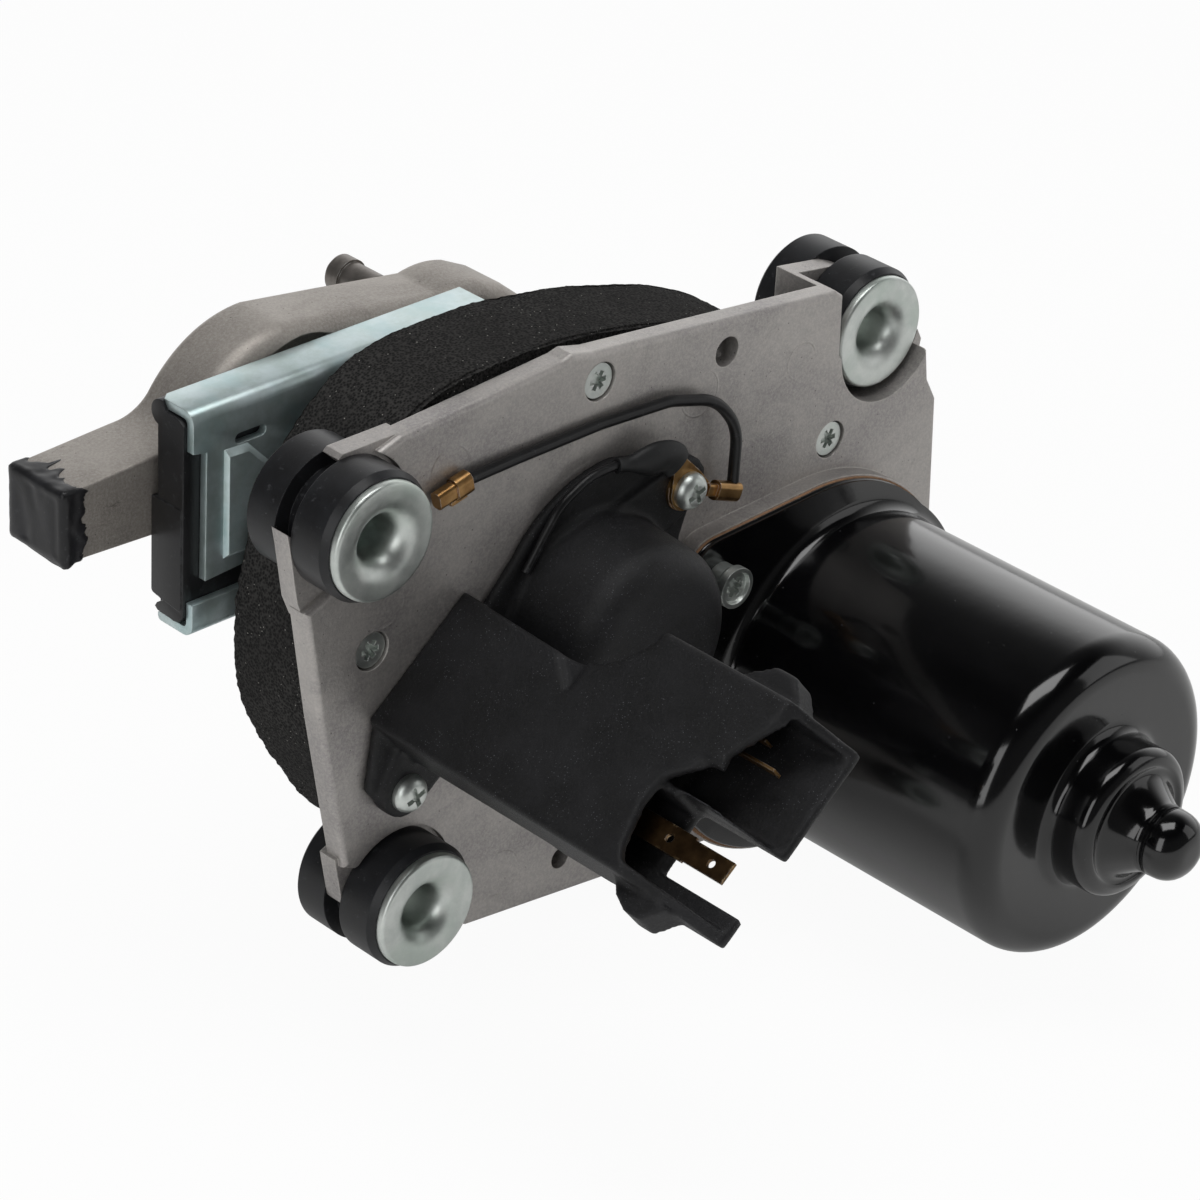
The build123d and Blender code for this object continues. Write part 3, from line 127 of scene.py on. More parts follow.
class Finish:
    """A material: one shader, the place on the piece in millimetres, and a way to add any node."""

    def __init__(self, name, color, roughness, metallic=0.0, **fixed):
        self.material = bpy.data.materials.new(name)
        self.material.use_nodes = True
        self.tree = self.material.node_tree
        self.shader = self.tree.nodes["Principled BSDF"]
        self.normal = None
        place = self.add("TexCoord").outputs["Object"]
        scaled = self.add("VectorMath", {"operation": "SCALE"}, {"Vector": place, "Scale": 1 / MM})
        self.place = scaled.outputs[0]
        split = self.add("SeparateXYZ", {}, {0: self.place})
        self.x, self.y, self.z = [Level(self, split.outputs[i]) for i in range(3)]
        self.give("Base Color", color)
        self.give("Roughness", roughness)
        self.give("Metallic", metallic)
        for socket, value in fixed.items():
            self.give(socket.replace("_", " "), value)

    def give(self, name, value):
        self.feed(self.shader.inputs[name], value)

    def feed(self, socket, value):
        if isinstance(value, Level):
            value = value.socket
        if isinstance(value, bpy.types.NodeSocket):
            self.tree.links.new(value, socket)
        else:
            socket.default_value = value

    def add(self, kind, settings=None, sockets=None):
        """A node of that type, with its settings made first and then its sockets' values or links."""
        node = self.tree.nodes.new("ShaderNode" + kind)
        for key, value in (settings or {}).items():
            setattr(node, key, value)
        for key, value in (sockets or {}).items():
            self.feed(node.inputs[key], value)
        return node

    def noise(self, size, detail=2.0, rough=0.5, stretch=(1, 1, 1), twist=0.0):
        """Smooth random values from 0 to 1, in lumps of about that many millimetres."""
        place = self.place
        if stretch != (1, 1, 1):
            place = self.add("VectorMath", {"operation": "MULTIPLY"}, {0: place, 1: stretch}).outputs[0]
        node = self.add(
            "TexNoise",
            {},
            {"Vector": place, "Scale": 1 / size, "Detail": detail, "Roughness": rough, "Distortion": twist},
        )
        return Level(self, node.outputs["Fac"])

    def cells(self, size, feature="F1"):
        """Distance from the middles of random cells of about that many millimetres."""
        node = self.add("TexVoronoi", {"feature": feature}, {"Vector": self.place, "Scale": 1 / size})
        return Level(self, node.outputs["Distance"])

    def edges(self, reach, low=0.02, high=0.2):
        """1 along sharp edges and corners of the piece, 0 on its faces."""
        rounded = self.add("Bevel", {"samples": 4}, {"Radius": reach * MM}).outputs[0]
        flat = self.add("NewGeometry").outputs["Normal"]
        facing = self.add("VectorMath", {"operation": "DOT_PRODUCT"}, {0: rounded, 1: flat})
        return (1 - Level(self, facing.outputs["Value"])).rise(low, high)

    def soften(self, reach):
        """Rounds the look of every edge by that many millimetres."""
        node = self.add("Bevel", {"samples": 4}, {"Radius": reach * MM})
        self.normal = node.outputs[0]
        self.give("Normal", self.normal)

    def bump(self, height, depth):
        """Raises the surface by height times that many millimetres."""
        sockets = {"Height": height, "Distance": depth * MM, "Strength": 1.0}
        if self.normal is not None:
            sockets["Normal"] = self.normal
        self.normal = self.add("Bump", {}, sockets).outputs[0]
        self.give("Normal", self.normal)

    def mix(self, amount, low, high):
        """The colour low where amount is 0, and high where it is 1."""
        node = self.add("Mix", {"data_type": "RGBA"}, {0: amount, 6: low, 7: high})
        return node.outputs[2]

    def ring(self, axis, centre, radius, width):
        """1 on a circle round an axis through centre, fading over width each side."""
        first, second = [(self.y, self.z), (self.x, self.z), (self.x, self.y)]["xyz".index(axis)]
        across = (first - centre[0]) ** 2 + (second - centre[1]) ** 2
        return (across ** 0.5 - radius).size().rise(width, 0.0)


def cast_skin(name, dark, light, pale_and_edge_highlight, roughness, metallic=0.75):
    """Die-cast aluminium: fine grain, slow flow marks and pale edges, which are painted highlight along the
    rounded edges and partly rubbed wear.
    """
    f = Finish(name, dark, roughness, metallic)
    f.soften(0.35)
    grain = f.noise(0.6, 4, 0.8)
    flow = f.noise(26, 4, 0.6, (0.6, 1, 1), 1.2)
    flecks = f.cells(0.8).rise(0.2, 0.0) * f.noise(3.0).rise(0.45, 0.65)
    pits = f.cells(2.7).rise(0.075, 0.045)
    stain = f.noise(9, 4, 0.7).rise(0.5, 0.75)
    pale_edges = f.edges(0.5) * f.noise(2.2, 3, 0.7).rise(0.3, 0.55)
    skin = f.mix(flow.rise(0.3, 0.7), dark, light)
    skin = f.mix(stain * 0.35, skin, tuple(0.62 * c for c in dark[:3]) + (1.0,))
    skin = f.mix(grain.rise(0.35, 0.7) * 0.5, skin, pale_and_edge_highlight)
    skin = f.mix(pits * 0.6, skin, srgb(62, 60, 58))
    # The pale edges painted here are painted highlight along the rounded edges, partly rubbed wear.
    f.give("Base Color", f.mix((pale_edges * 0.8 + flecks * 0.35).least(1.0), skin, pale_and_edge_highlight))
    f.give("Roughness", roughness + (grain - 0.5) * 0.28 - pale_edges * 0.12)
    return f, grain, flow


def plate_metal():
    """The plate's casting, with faint rings where ejector pins stood."""
    f, grain, flow = cast_skin(
        "cast_plate", srgb(150, 146, 146), srgb(178, 174, 171), srgb(208, 204, 198), 0.46
    )
    marks = None
    for x, z, radius in [
        (24.5, 3.0, 5.0), (49.0, 7.0, 5.0), (9.0, -20.5, 5.0), (91.0, -2.0, 5.0),
        (42.0, -94.0, 5.0), (19.0, -44.0, 4.0), (120.0, -4.0, 4.0),
    ]:
        ring = f.ring("y", (x, z), radius, 0.35)
        marks = ring if marks is None else marks.most(ring)
    marks = marks * (f.y - PLATE_FACE_Y).size().rise(0.6, 0.1)
    f.bump(flow * 0.5 + f.noise(7, 3), 0.12)
    f.bump(grain, 0.07)
    f.bump(marks * f.noise(9).rise(0.45, 0.6), 0.07)
    return f


def arm_metal():
    """The arm's casting is browner, with dark runs beside the dipped end of its stub."""
    f, grain, flow = cast_skin(
        "cast_arm", srgb(142, 136, 130), srgb(168, 162, 156), srgb(200, 195, 188), 0.52
    )
    scratches = f.noise(1.6, 4, 0.75, (0.25, 1, 1)).rise(0.62, 0.75) * f.x.rise(-10, -24)
    bare = f.shader.inputs["Base Color"].links[0].from_socket
    f.give("Base Color", f.mix(scratches * 0.7, bare, srgb(70, 66, 63)))
    f.give("Roughness", 0.52 + (grain - 0.5) * 0.25)
    f.bump(flow * 0.5 + f.noise(5, 3), 0.1)
    f.bump(grain, 0.06)
    return f


def foam_cells():
    """Open charcoal foam with pores and a little pale lint."""
    f = Finish("foam", srgb(40, 40, 40), 0.95, Specular_IOR_Level=0.1)
    pores = f.cells(0.55)
    fine = f.noise(0.4, 3, 0.8)
    lint = f.cells(1.6).rise(0.09, 0.05)
    tone = f.mix((pores * 0.9).rise(0.15, 0.75), srgb(26, 26, 26), srgb(60, 59, 58))
    tone = f.mix(f.noise(14, 3).rise(0.35, 0.7) * 0.3, tone, srgb(34, 33, 33))
    f.give("Base Color", f.mix(lint * 0.75, tone, srgb(190, 188, 182)))
    f.give("Roughness", 0.9 + fine * 0.1)
    f.bump(pores * 0.7 + fine * 0.6, 0.16)
    return f


def can_paint():
    """Gloss black paint with a faint orange peel, haze and dust."""
    f = Finish("black_paint", srgb(8, 8, 9), 0.14, Coat_Weight=0.25, Coat_Roughness=0.06)
    peel = f.noise(4.5, 2, 0.5)
    dust = f.cells(3.2).rise(0.05, 0.025)
    haze = f.noise(22, 4, 0.65, (1, 0.4, 1)).rise(0.4, 0.75)
    pale_edges = f.edges(0.5, 0.05, 0.3) * f.noise(1.3, 3, 0.8).rise(0.56, 0.66)
    tone = f.mix(haze * 0.35, srgb(6, 6, 7), srgb(18, 18, 20))
    f.give("Base Color", f.mix((dust * 0.35 + pale_edges * 0.4).least(1.0), tone, srgb(96, 96, 98)))
    f.give("Roughness", 0.13 + haze * 0.06 + dust * 0.2)
    f.bump(peel, 0.025)
    f.bump(dust, 0.03)
    return f


def plain_metal(name, dark, light, roughness, line=0.0, metallic=1.0, tint=None):
    """Plated or machined metal: cloudy tone, fine grain and bright edge wear."""
    f = Finish(name, dark, roughness, metallic)
    f.soften(0.18)
    cloud = f.noise(6, 4, 0.65)
    grain = f.noise(0.35, 2, 0.7)
    pale_edges = f.edges(0.3) * f.noise(1.1, 2).rise(0.35, 0.6)
    tone = f.mix(cloud.rise(0.3, 0.7), dark, light)
    if tint:
        tone = f.mix(f.noise(11, 3, 0.6).rise(0.45, 0.7) * 0.5, tone, tint)
    f.give("Base Color", f.mix(pale_edges * 0.5, tone, srgb(235, 236, 234)))
    f.give("Roughness", roughness + (cloud - 0.5) * 0.2 + (grain - 0.5) * 0.15)
    f.bump(grain, 0.012 + line)
    return f


def rubber_skin(name, dark, light, roughness, speck=0.4):
    """Moulded rubber or plastic with a dull sheen, scuffs and a little dust."""
    f = Finish(name, dark, roughness, Specular_IOR_Level=0.35)
    f.soften(0.3)
    cloud = f.noise(9, 4, 0.65)
    scuff = f.noise(2.0, 4, 0.8).rise(0.58, 0.72)
    dust = f.cells(2.6).rise(0.05, 0.03)
    pale_edges = f.edges(0.4) * f.noise(1.5).rise(0.4, 0.6)
    tone = f.mix(cloud.rise(0.3, 0.7), dark, light)
    tone = f.mix((scuff * 0.2 + pale_edges * 0.25).least(1.0), tone, srgb(104, 106, 110))
    f.give("Base Color", f.mix(dust * speck, tone, srgb(150, 150, 150)))
    f.give("Roughness", roughness + (cloud - 0.5) * 0.16 + scuff * 0.1)
    f.bump(f.noise(0.5, 2), 0.012)
    return f


def moulded_cover():
    """Matt moulded plastic, finely speckled, with pale lines painted along its edges: painted highlight on the
    rounded edges, partly rubbed wear.
    """
    f = Finish("cover_plastic", srgb(26, 26, 27), 0.55, Specular_IOR_Level=0.3)
    f.soften(0.5)
    spark = f.noise(0.5, 4, 0.8)
    cloud = f.noise(18, 3, 0.6)
    glint = f.cells(0.6).rise(0.2, 0.07) * f.noise(6, 3).rise(0.4, 0.62)
    pale_edges = f.edges(0.5, 0.03, 0.2) * f.noise(1.6, 3, 0.7).rise(0.38, 0.6)
    tone = f.mix(cloud.rise(0.35, 0.7), srgb(19, 19, 20), srgb(30, 30, 32))
    tone = f.mix(spark.rise(0.45, 0.8) * 0.5, tone, srgb(48, 48, 51))
    # The pale specks are painted glints, and the pale lines along the edges are painted highlight, partly rubbed
    # wear.
    f.give("Base Color", f.mix((glint * 0.6 + pale_edges * 0.5).least(1.0), tone, srgb(112, 113, 118)))
    f.give("Roughness", 0.5 + (spark - 0.5) * 0.5 - glint * 0.15)
    f.bump(spark, 0.11)
    f.bump(f.noise(1.8, 2), 0.07)
    return f


def terminal_metal():
    """Stamped brass, gone brown in places."""
    return plain_metal("brass", srgb(138, 104, 64), srgb(186, 148, 98), 0.34, tint=srgb(104, 72, 46))


def blade_bronze():
    """The wide blade's darkened bronze, with painted highlights along its folds."""
    f = plain_metal("blade_bronze", srgb(84, 64, 44), srgb(118, 92, 62), 0.34, tint=srgb(60, 46, 36))
    painted_fold_highlight = f.noise(2.2, 3, 0.6).rise(0.56, 0.62) * f.edges(0.9, 0.02, 0.12)
    tone = f.shader.inputs["Base Color"].links[0].from_socket
    # The bright lines along the folded edges are painted highlight.
    f.give("Base Color", f.mix(painted_fold_highlight * 0.7, tone, srgb(214, 186, 140)))
    return f


def grainy(name, dark, light, roughness, size, metallic=0.0, depth=0.03):
    """A plain inner material: grain of one size in two tones."""
    f = Finish(name, dark, roughness, metallic)
    f.soften(0.2)
    grain = f.noise(size, 4, 0.7)
    pale_edges = f.edges(0.3) * f.noise(1.4).rise(0.4, 0.6)
    tone = f.mix(grain.rise(0.3, 0.7), dark, light)
    f.give("Base Color", f.mix(pale_edges * 0.4, tone, tuple(min(1.0, c * 1.7) for c in light[:3]) + (1.0,)))
    f.give("Roughness", roughness + (grain - 0.5) * 0.2)
    f.bump(grain, depth)
    return f


FINISHES = {
    "cast_plate": plate_metal(),
    "cast_arm": arm_metal(),
    "foam": foam_cells(),
    "black_paint": can_paint(),
    "gasket": grainy("gasket", srgb(132, 98, 72), srgb(164, 128, 98), 0.85, 0.8),
    "ferrite": grainy("ferrite", srgb(52, 50, 50), srgb(72, 70, 70), 0.8, 0.7),
    "bronze": grainy("bronze", srgb(150, 116, 70), srgb(182, 146, 92), 0.45, 0.5, 1.0),
    "inner_plastic": grainy("inner_plastic", srgb(122, 118, 108), srgb(142, 138, 128), 0.6, 1.2),
    "cover_plastic": moulded_cover(),
    "carbon": grainy("carbon", srgb(34, 34, 36), srgb(58, 58, 60), 0.6, 0.4, 0.2),
    "brass": terminal_metal(),
    "blade_bronze": blade_bronze(),
    "zinc": plain_metal("zinc", srgb(196, 202, 198), srgb(220, 224, 220), 0.42, tint=srgb(184, 198, 188)),
    "zinc_sheet": plain_metal(
        "zinc_sheet", srgb(186, 202, 200), srgb(210, 224, 226), 0.4, 0.0, 0.85, tint=srgb(168, 198, 200)
    ),
    "rubber": rubber_skin("rubber", srgb(21, 21, 23), srgb(30, 31, 34), 0.4),
    "wire_skin": rubber_skin("wire_skin", srgb(16, 16, 17), srgb(24, 24, 25), 0.34, 0.2),
    "dip_coat": rubber_skin("dip_coat", srgb(24, 24, 26), srgb(38, 38, 41), 0.38, 0.2),
    "shrink": rubber_skin("shrink", srgb(20, 20, 21), srgb(30, 31, 32), 0.5, 0.3),
    "steel": plain_metal("steel", srgb(160, 160, 162), srgb(190, 190, 192), 0.3),
    "core_steel": grainy("core_steel", srgb(98, 98, 100), srgb(128, 128, 130), 0.45, 0.5, 1.0),
    "copper": grainy("copper", srgb(168, 92, 52), srgb(206, 126, 78), 0.35, 0.6, 1.0),
    "gear_plastic": grainy("gear_plastic", srgb(222, 216, 200), srgb(236, 232, 220), 0.5, 3.0),
    "slider_plastic": rubber_skin("slider_plastic", srgb(20, 20, 21), srgb(28, 28, 30), 0.38, 0.2),
    "pin_steel": plain_metal("pin_steel", srgb(112, 107, 102), srgb(142, 137, 132), 0.42, 0.01, 0.9),
}

for subpart in frame["record"]["subparts"]:
    node = frame["nodes"][subpart["node"]]
    finish = "blade_bronze" if subpart["node"] == "wide_terminal" else subpart["material_slot"]
    for slot in node.material_slots:
        slot.material = FINISHES[finish].material


def new_piece(name, mesh):
    """An object in the scene with that mesh."""
    piece = bpy.data.objects.new(name, mesh)
    bpy.context.scene.collection.objects.link(piece)
    return piece


def from_rings(name, rings, closed_first=True, closed_last=True):
    """A skin over rings of equally many points, in millimetres, with its two ends capped."""
    count = len(rings[0])
    points = [Vector(p) * MM for ring in rings for p in ring]
    faces = []
    for k in range(len(rings) - 1):
        for i in range(count):
            j = (i + 1) % count
            faces.append((k * count + i, k * count + j, (k + 1) * count + j, (k + 1) * count + i))
    if closed_first:
        faces.append(tuple(reversed(range(count))))
    if closed_last:
        last = (len(rings) - 1) * count
        faces.append(tuple(range(last, last + count)))
    mesh = bpy.data.meshes.new(name)
    mesh.from_pydata(points, [], faces)
    form = bmesh.new()
    form.from_mesh(mesh)
    bmesh.ops.recalc_face_normals(form, faces=form.faces)
    form.to_mesh(mesh)
    form.free()
    return new_piece(name, mesh)


def looped(name, rings):
    """A ring-shaped skin: the last ring joins the first."""
    return from_rings(name, rings + [rings[0]], False, False)


def settle(piece):
    """Applies the piece's modifiers."""
    graph = bpy.context.evaluated_depsgraph_get()
    mesh = bpy.data.meshes.new_from_object(piece.evaluated_get(graph))
    piece.modifiers.clear()
    piece.data = mesh
    return piece


def weld(piece, distance=0.001):
    """Joins points that lie together."""
    form = bmesh.new()
    form.from_mesh(piece.data)
    bmesh.ops.remove_doubles(form, verts=form.verts, dist=distance * MM)
    form.to_mesh(piece.data)
    form.free()
    return piece


def copied(node, name):
    """A welded copy of a CAD node's skin, to work on."""
    return weld(new_piece(name, frame["nodes"][node].data.copy()))


def carve(piece, *cutters, operation="DIFFERENCE"):
    """Cuts the cutters out of the piece, or joins them to it, and removes them."""
    for cutter in cutters:
        cut = piece.modifiers.new("cut", "BOOLEAN")
        cut.operation = operation
        cut.solver = "EXACT"
        cut.object = cutter
        settle(piece)
        bpy.data.objects.remove(cutter)
    return piece


def round_edges(piece, width, steps=2, angle=32):
    """Rounds every edge sharper than the angle."""
    edge = piece.modifiers.new("edge", "BEVEL")
    edge.width = width * MM
    edge.segments = steps
    edge.limit_method = "ANGLE"
    edge.angle_limit = math.radians(angle)
    return settle(piece)


def melt(piece, grain, rounds, weight=None, faces=None):
    """Remeshes a form in even grains and lets its edges run soft, most where weight is 1."""
    even = piece.modifiers.new("even", "REMESH")
    even.mode = "VOXEL"
    even.voxel_size = grain * MM
    settle(piece)
    soft = piece.modifiers.new("soft", "SMOOTH")
    soft.factor = 0.5
    soft.iterations = rounds
    if weight:
        group = piece.vertex_groups.new(name="soft")
        for vertex in piece.data.vertices:
            group.add([vertex.index], weight(vertex.co / MM), "REPLACE")
        soft.vertex_group = "soft"
    settle(piece)
    if faces and len(piece.data.polygons) * 2 > faces:
        fewer = piece.modifiers.new("fewer", "DECIMATE")
        fewer.ratio = faces / (len(piece.data.polygons) * 2)
        settle(piece)
    return piece


def shade(piece, angle=34):
    """Smooth shading, with creases sharper than the angle kept."""
    mesh = piece.data
    mesh.shade_smooth()
    mesh.set_sharp_from_angle(angle=math.radians(angle))
    return piece


def seat(piece, body, slot, *nodes, finish=None, angle=34):
    """Gives a finished piece its material, the body it rides and the nodes it stands for."""
    shade(piece, angle)
    piece.data.materials.clear()
    piece.data.materials.append((finish or FINISHES[slot]).material)
    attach(piece, body)
    if nodes:
        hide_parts(*nodes)
    return piece


def arc(first, middle, last, steps=10):
    """Points on the arc through three points, without its first one."""
    (ax, ay), (bx, by), (cx, cy) = first, middle, last
    d = 2 * (ax * (by - cy) + bx * (cy - ay) + cx * (ay - by))
    a2, b2, c2 = ax ** 2 + ay ** 2, bx ** 2 + by ** 2, cx ** 2 + cy ** 2
    ox = (a2 * (by - cy) + b2 * (cy - ay) + c2 * (ay - by)) / d
    oy = (a2 * (cx - bx) + b2 * (ax - cx) + c2 * (bx - ax)) / d
    radius = math.hypot(ax - ox, ay - oy)
    start, mid, end = [math.atan2(y - oy, x - ox) for x, y in (first, middle, last)]
    turn = (end - start) % math.tau
    if (mid - start) % math.tau > turn:
        turn -= math.tau
    angles = [start + turn * k / steps for k in range(1, steps + 1)]
    return [(ox + radius * math.cos(a), oy + radius * math.sin(a)) for a in angles]


def circle(centre, radius, steps=64):
    """A closed outline of even steps round a centre."""
    turns = [math.tau * k / steps for k in range(steps)]
    return [(centre[0] + radius * math.cos(t), centre[1] + radius * math.sin(t)) for t in turns]


def rounded(corners, steps=5):
    """A closed outline with each (x, y, radius) corner rounded."""
    outline = []
    count = len(corners)
    for i, (x, y, radius) in enumerate(corners):
        here = Vector((x, y))
        if radius <= 0:
            outline.append((x, y))
            continue
        before = (Vector(corners[i - 1][:2]) - here).normalized()
        after = (Vector(corners[(i + 1) % count][:2]) - here).normalized()
        half = before.angle(after) / 2
        reach = radius / math.tan(half)
        middle = here + (before + after).normalized() * (radius / math.sin(half) - radius)
        first, last = here + before * reach, here + after * reach
        outline.append(tuple(first))
        outline += arc(tuple(first), tuple(middle), tuple(last), steps)
    return outline


def hull(points):
    """The convex outline round some points, anticlockwise."""
    points = sorted(set((round(x, 4), round(y, 4)) for x, y in points))

    def half(run):
        side = []
        for p in run:
            while len(side) > 1 and (
                (side[-1][0] - side[-2][0]) * (p[1] - side[-2][1])
                - (side[-1][1] - side[-2][1]) * (p[0] - side[-2][0])
            ) <= 0:
                side.pop()
            side.append(p)
        return side[:-1]

    return half(points) + half(reversed(points))


def holds(outline, x, z):
    """Whether a convex anticlockwise outline holds the point."""
    for k, (bx, bz) in enumerate(outline):
        ax, az = outline[k - 1]
        if (bx - ax) * (z - az) - (bz - az) * (x - ax) < 0:
            return False
    return True


def slab(name, outline, front, back):
    """An outline in x and z, as thick as from front to back."""
    return from_rings(name, [[(x, y, z) for x, z in outline] for y in (front, back)])


def bar(name, section, left, right):
    """A section in y and z, as long as from left to right."""
    return from_rings(name, [[(x, y, z) for y, z in section] for x in (left, right)])


def turned(name, profile, centre, steps=96):
    """A closed profile of (radius, y) turned round the y axis through centre."""
    rings = []
    for k in range(steps):
        t = math.tau * k / steps
        rings.append([(centre[0] + r * math.cos(t), y, centre[1] + r * math.sin(t)) for r, y in profile])
    return weld(looped(name, rings))


def densified(outline, gap):
    """A closed outline with extra points so that none are further apart than gap."""
    dense = []
    for k, (x, y) in enumerate(outline):
        nx, ny = outline[(k + 1) % len(outline)]
        parts = max(1, round(math.hypot(nx - x, ny - y) / gap))
        dense += [(x + (nx - x) * i / parts, y + (ny - y) * i / parts) for i in range(parts)]
    return dense


def blend(value, low, high):
    """0 below low, 1 above high, smooth between."""
    t = min(1.0, max(0.0, (value - low) / (high - low)))
    return t * t * (3 - 2 * t)


# ---------------------------------------------------------------- foam and gear case
LOBES = [((68.5, -37.4), 35.1), (CAN_AXIS, 12.0), (OUTPUT_AXIS, 16.0)]
IDLER = (100.9, -60.9)
FOAM_EDGE = [
    (19.3, -83.5), (7.3, -68.1), (-1.0, -52), (-3.4, -37), (-2.4, -20.3),
    (6.8, 1.0), (20.4, 13.2), (36, 17.4), (54, 17.4), (72.2, 15.2),
    (89.9, 11.3), (107, 5.8), (122, -2.8), (139, -22), (150, -48),
    (152, -76), (142, -97), (122, -104), (84, -101), (46, -99),
]
FOAM_FRONT, FOAM_BACK = 2.0, 24.4
CASE_BACK = 20.2
FOAM_MIDDLE = (76.0, -42.0)


def foam_ring():
    """The die-cut foam seal: a soft wall with an uneven cut face and ragged rims."""
    count = len(FOAM_EDGE)
    edge = []
    for k in range(count):
        p0, p1, p2, p3 = [Vector(FOAM_EDGE[(k + j) % count]) for j in (-1, 0, 1, 2)]
        for i in range(34):
            t = i / 34
            edge.append(tuple(
                0.5 * (2 * p1 + (p2 - p0) * t + (2 * p0 - 5 * p1 + 4 * p2 - p3) * t ** 2
                       + (3 * p1 - p0 - 3 * p2 + p3) * t ** 3)
            ))
    lobes = [point for centre, radius in LOBES for point in circle(centre, radius + 3.0, 48)]
    case = hull(lobes + circle(IDLER, 33.1, 48))

    def outside(x, z, y):
        for mx, mz, setback in MOUNTS.values():
            if y < 11.3 + setback and math.hypot(x - mx, z - mz) < 14.0:
                return True
        return x > 129.7 and z > -10.2 or x > 129.7 and z > -22.9 and x - 129.7 > (-z - 10.2) * 0.6

    def inside(x, z, y):
        if y > CASE_BACK - 0.2 and math.hypot(x - OUTPUT_AXIS[0], z - OUTPUT_AXIS[1]) < 22.8:
            return True
        return holds(case, x, z)

    def column(x, z, y):
        """Outer and inner end of the foam on the line from the edge to the middle."""
        cx, cz = FOAM_MIDDLE
        start = 0.0
        while outside(x + (cx - x) * start, z + (cz - z) * start, y) and start < 0.7:
            start += 0.004
        low, high = start, 1.0
        for _ in range(12):
            half = (low + high) / 2
            if inside(x + (cx - x) * half, z + (cz - z) * half, y):
                high = half
            else:
                low = half
        return start, max(low, start + 0.004)

    stops = [column(x, z, 5.0) for x, z in edge]
    middle_stops = [column(x, z, 15.0) for x, z in edge]
    far_stops = [column(x, z, 22.5) for x, z in edge]

    def at_depth(k, y):
        return far_stops[k] if y > CASE_BACK - 0.2 else middle_stops[k] if y > 11.3 else stops[k]

    walls = 30
    rows = [(y, 0.0) for y in [FOAM_FRONT + (FOAM_BACK - FOAM_FRONT) * k / (walls - 1) for k in range(walls)]]
    across = [(k / 15) ** 1.6 for k in range(1, 16)]
    rows += [(FOAM_BACK, a) for a in across]
    rows += [(y, 1.0) for y in (20.1, 19.9, 12, 6)]
    rows += [(FOAM_FRONT, a) for a in reversed(across)]
    rings = []
    for y, a in rows:
        ring = []
        for k, (x, z) in enumerate(edge):
            outer, inner = at_depth(k, y)
            t = outer + (inner - outer) * a
            ring.append((x + (FOAM_MIDDLE[0] - x) * t, y, z + (FOAM_MIDDLE[1] - z) * t))
        rings.append(ring)
    ring = looped("foam_ring", rings)
    low, high = [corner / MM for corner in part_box("foam_seal")]
    low.x, high.z = low.x - 0.5, CAD_BOX[1].z / MM
    facing = [vertex.normal.copy() for vertex in ring.data.vertices]
    for vertex, normal in zip(ring.data.vertices, facing):
        place = vertex.co / MM
        if holds(case, place.x + (FOAM_MIDDLE[0] - place.x) * 0.03, place.z + (FOAM_MIDDLE[1] - place.z) * 0.03):
            continue
        rim = blend(min(place.y - FOAM_FRONT, FOAM_BACK - place.y), 1.6, 0.0)
        swell = noise.noise(place / 16) * 0.3 + noise.noise(place / 2.1) * 0.12 + noise.noise(place * 0.95) * 0.12
        moved = place + normal * (swell * (1 + rim) - 0.3 - rim * 0.25)
        vertex.co = Vector(min(max(moved[i], low[i]), high[i]) for i in range(3)) * MM
    seat(ring, "root", "foam", "foam_seal", angle=80)


foam_ring()


def gear_case_casting():
    """The gear case, drawn in round the output shaft and at its screw lugs to stay inside the foam."""
    case = copied("gear_case", "gear_case_casting")
    for vertex in case.data.vertices:
        place = vertex.co / MM
        dx, dz = place.x - OUTPUT_AXIS[0], place.z - OUTPUT_AXIS[1]
        away = math.hypot(dx, dz)
        if 17 < away < 24 and (dz > 4 or dx < -6):
            vertex.co.x = (OUTPUT_AXIS[0] + dx * 18.6 / 23) * MM
            vertex.co.z = (OUTPUT_AXIS[1] + dz * 18.6 / 23) * MM
        for sx, sz in ((63.0, 9.3), (6.2, -29.5)):
            dx, dz = place.x - sx, place.z - sz
            if 4.6 < math.hypot(dx, dz) < 5.4:
                vertex.co.x = (sx + dx * 0.82) * MM
                vertex.co.z = (sz + dz * 0.82) * MM
    seat(case, "root", "cast_plate", "gear_case", angle=30)


gear_case_casting()


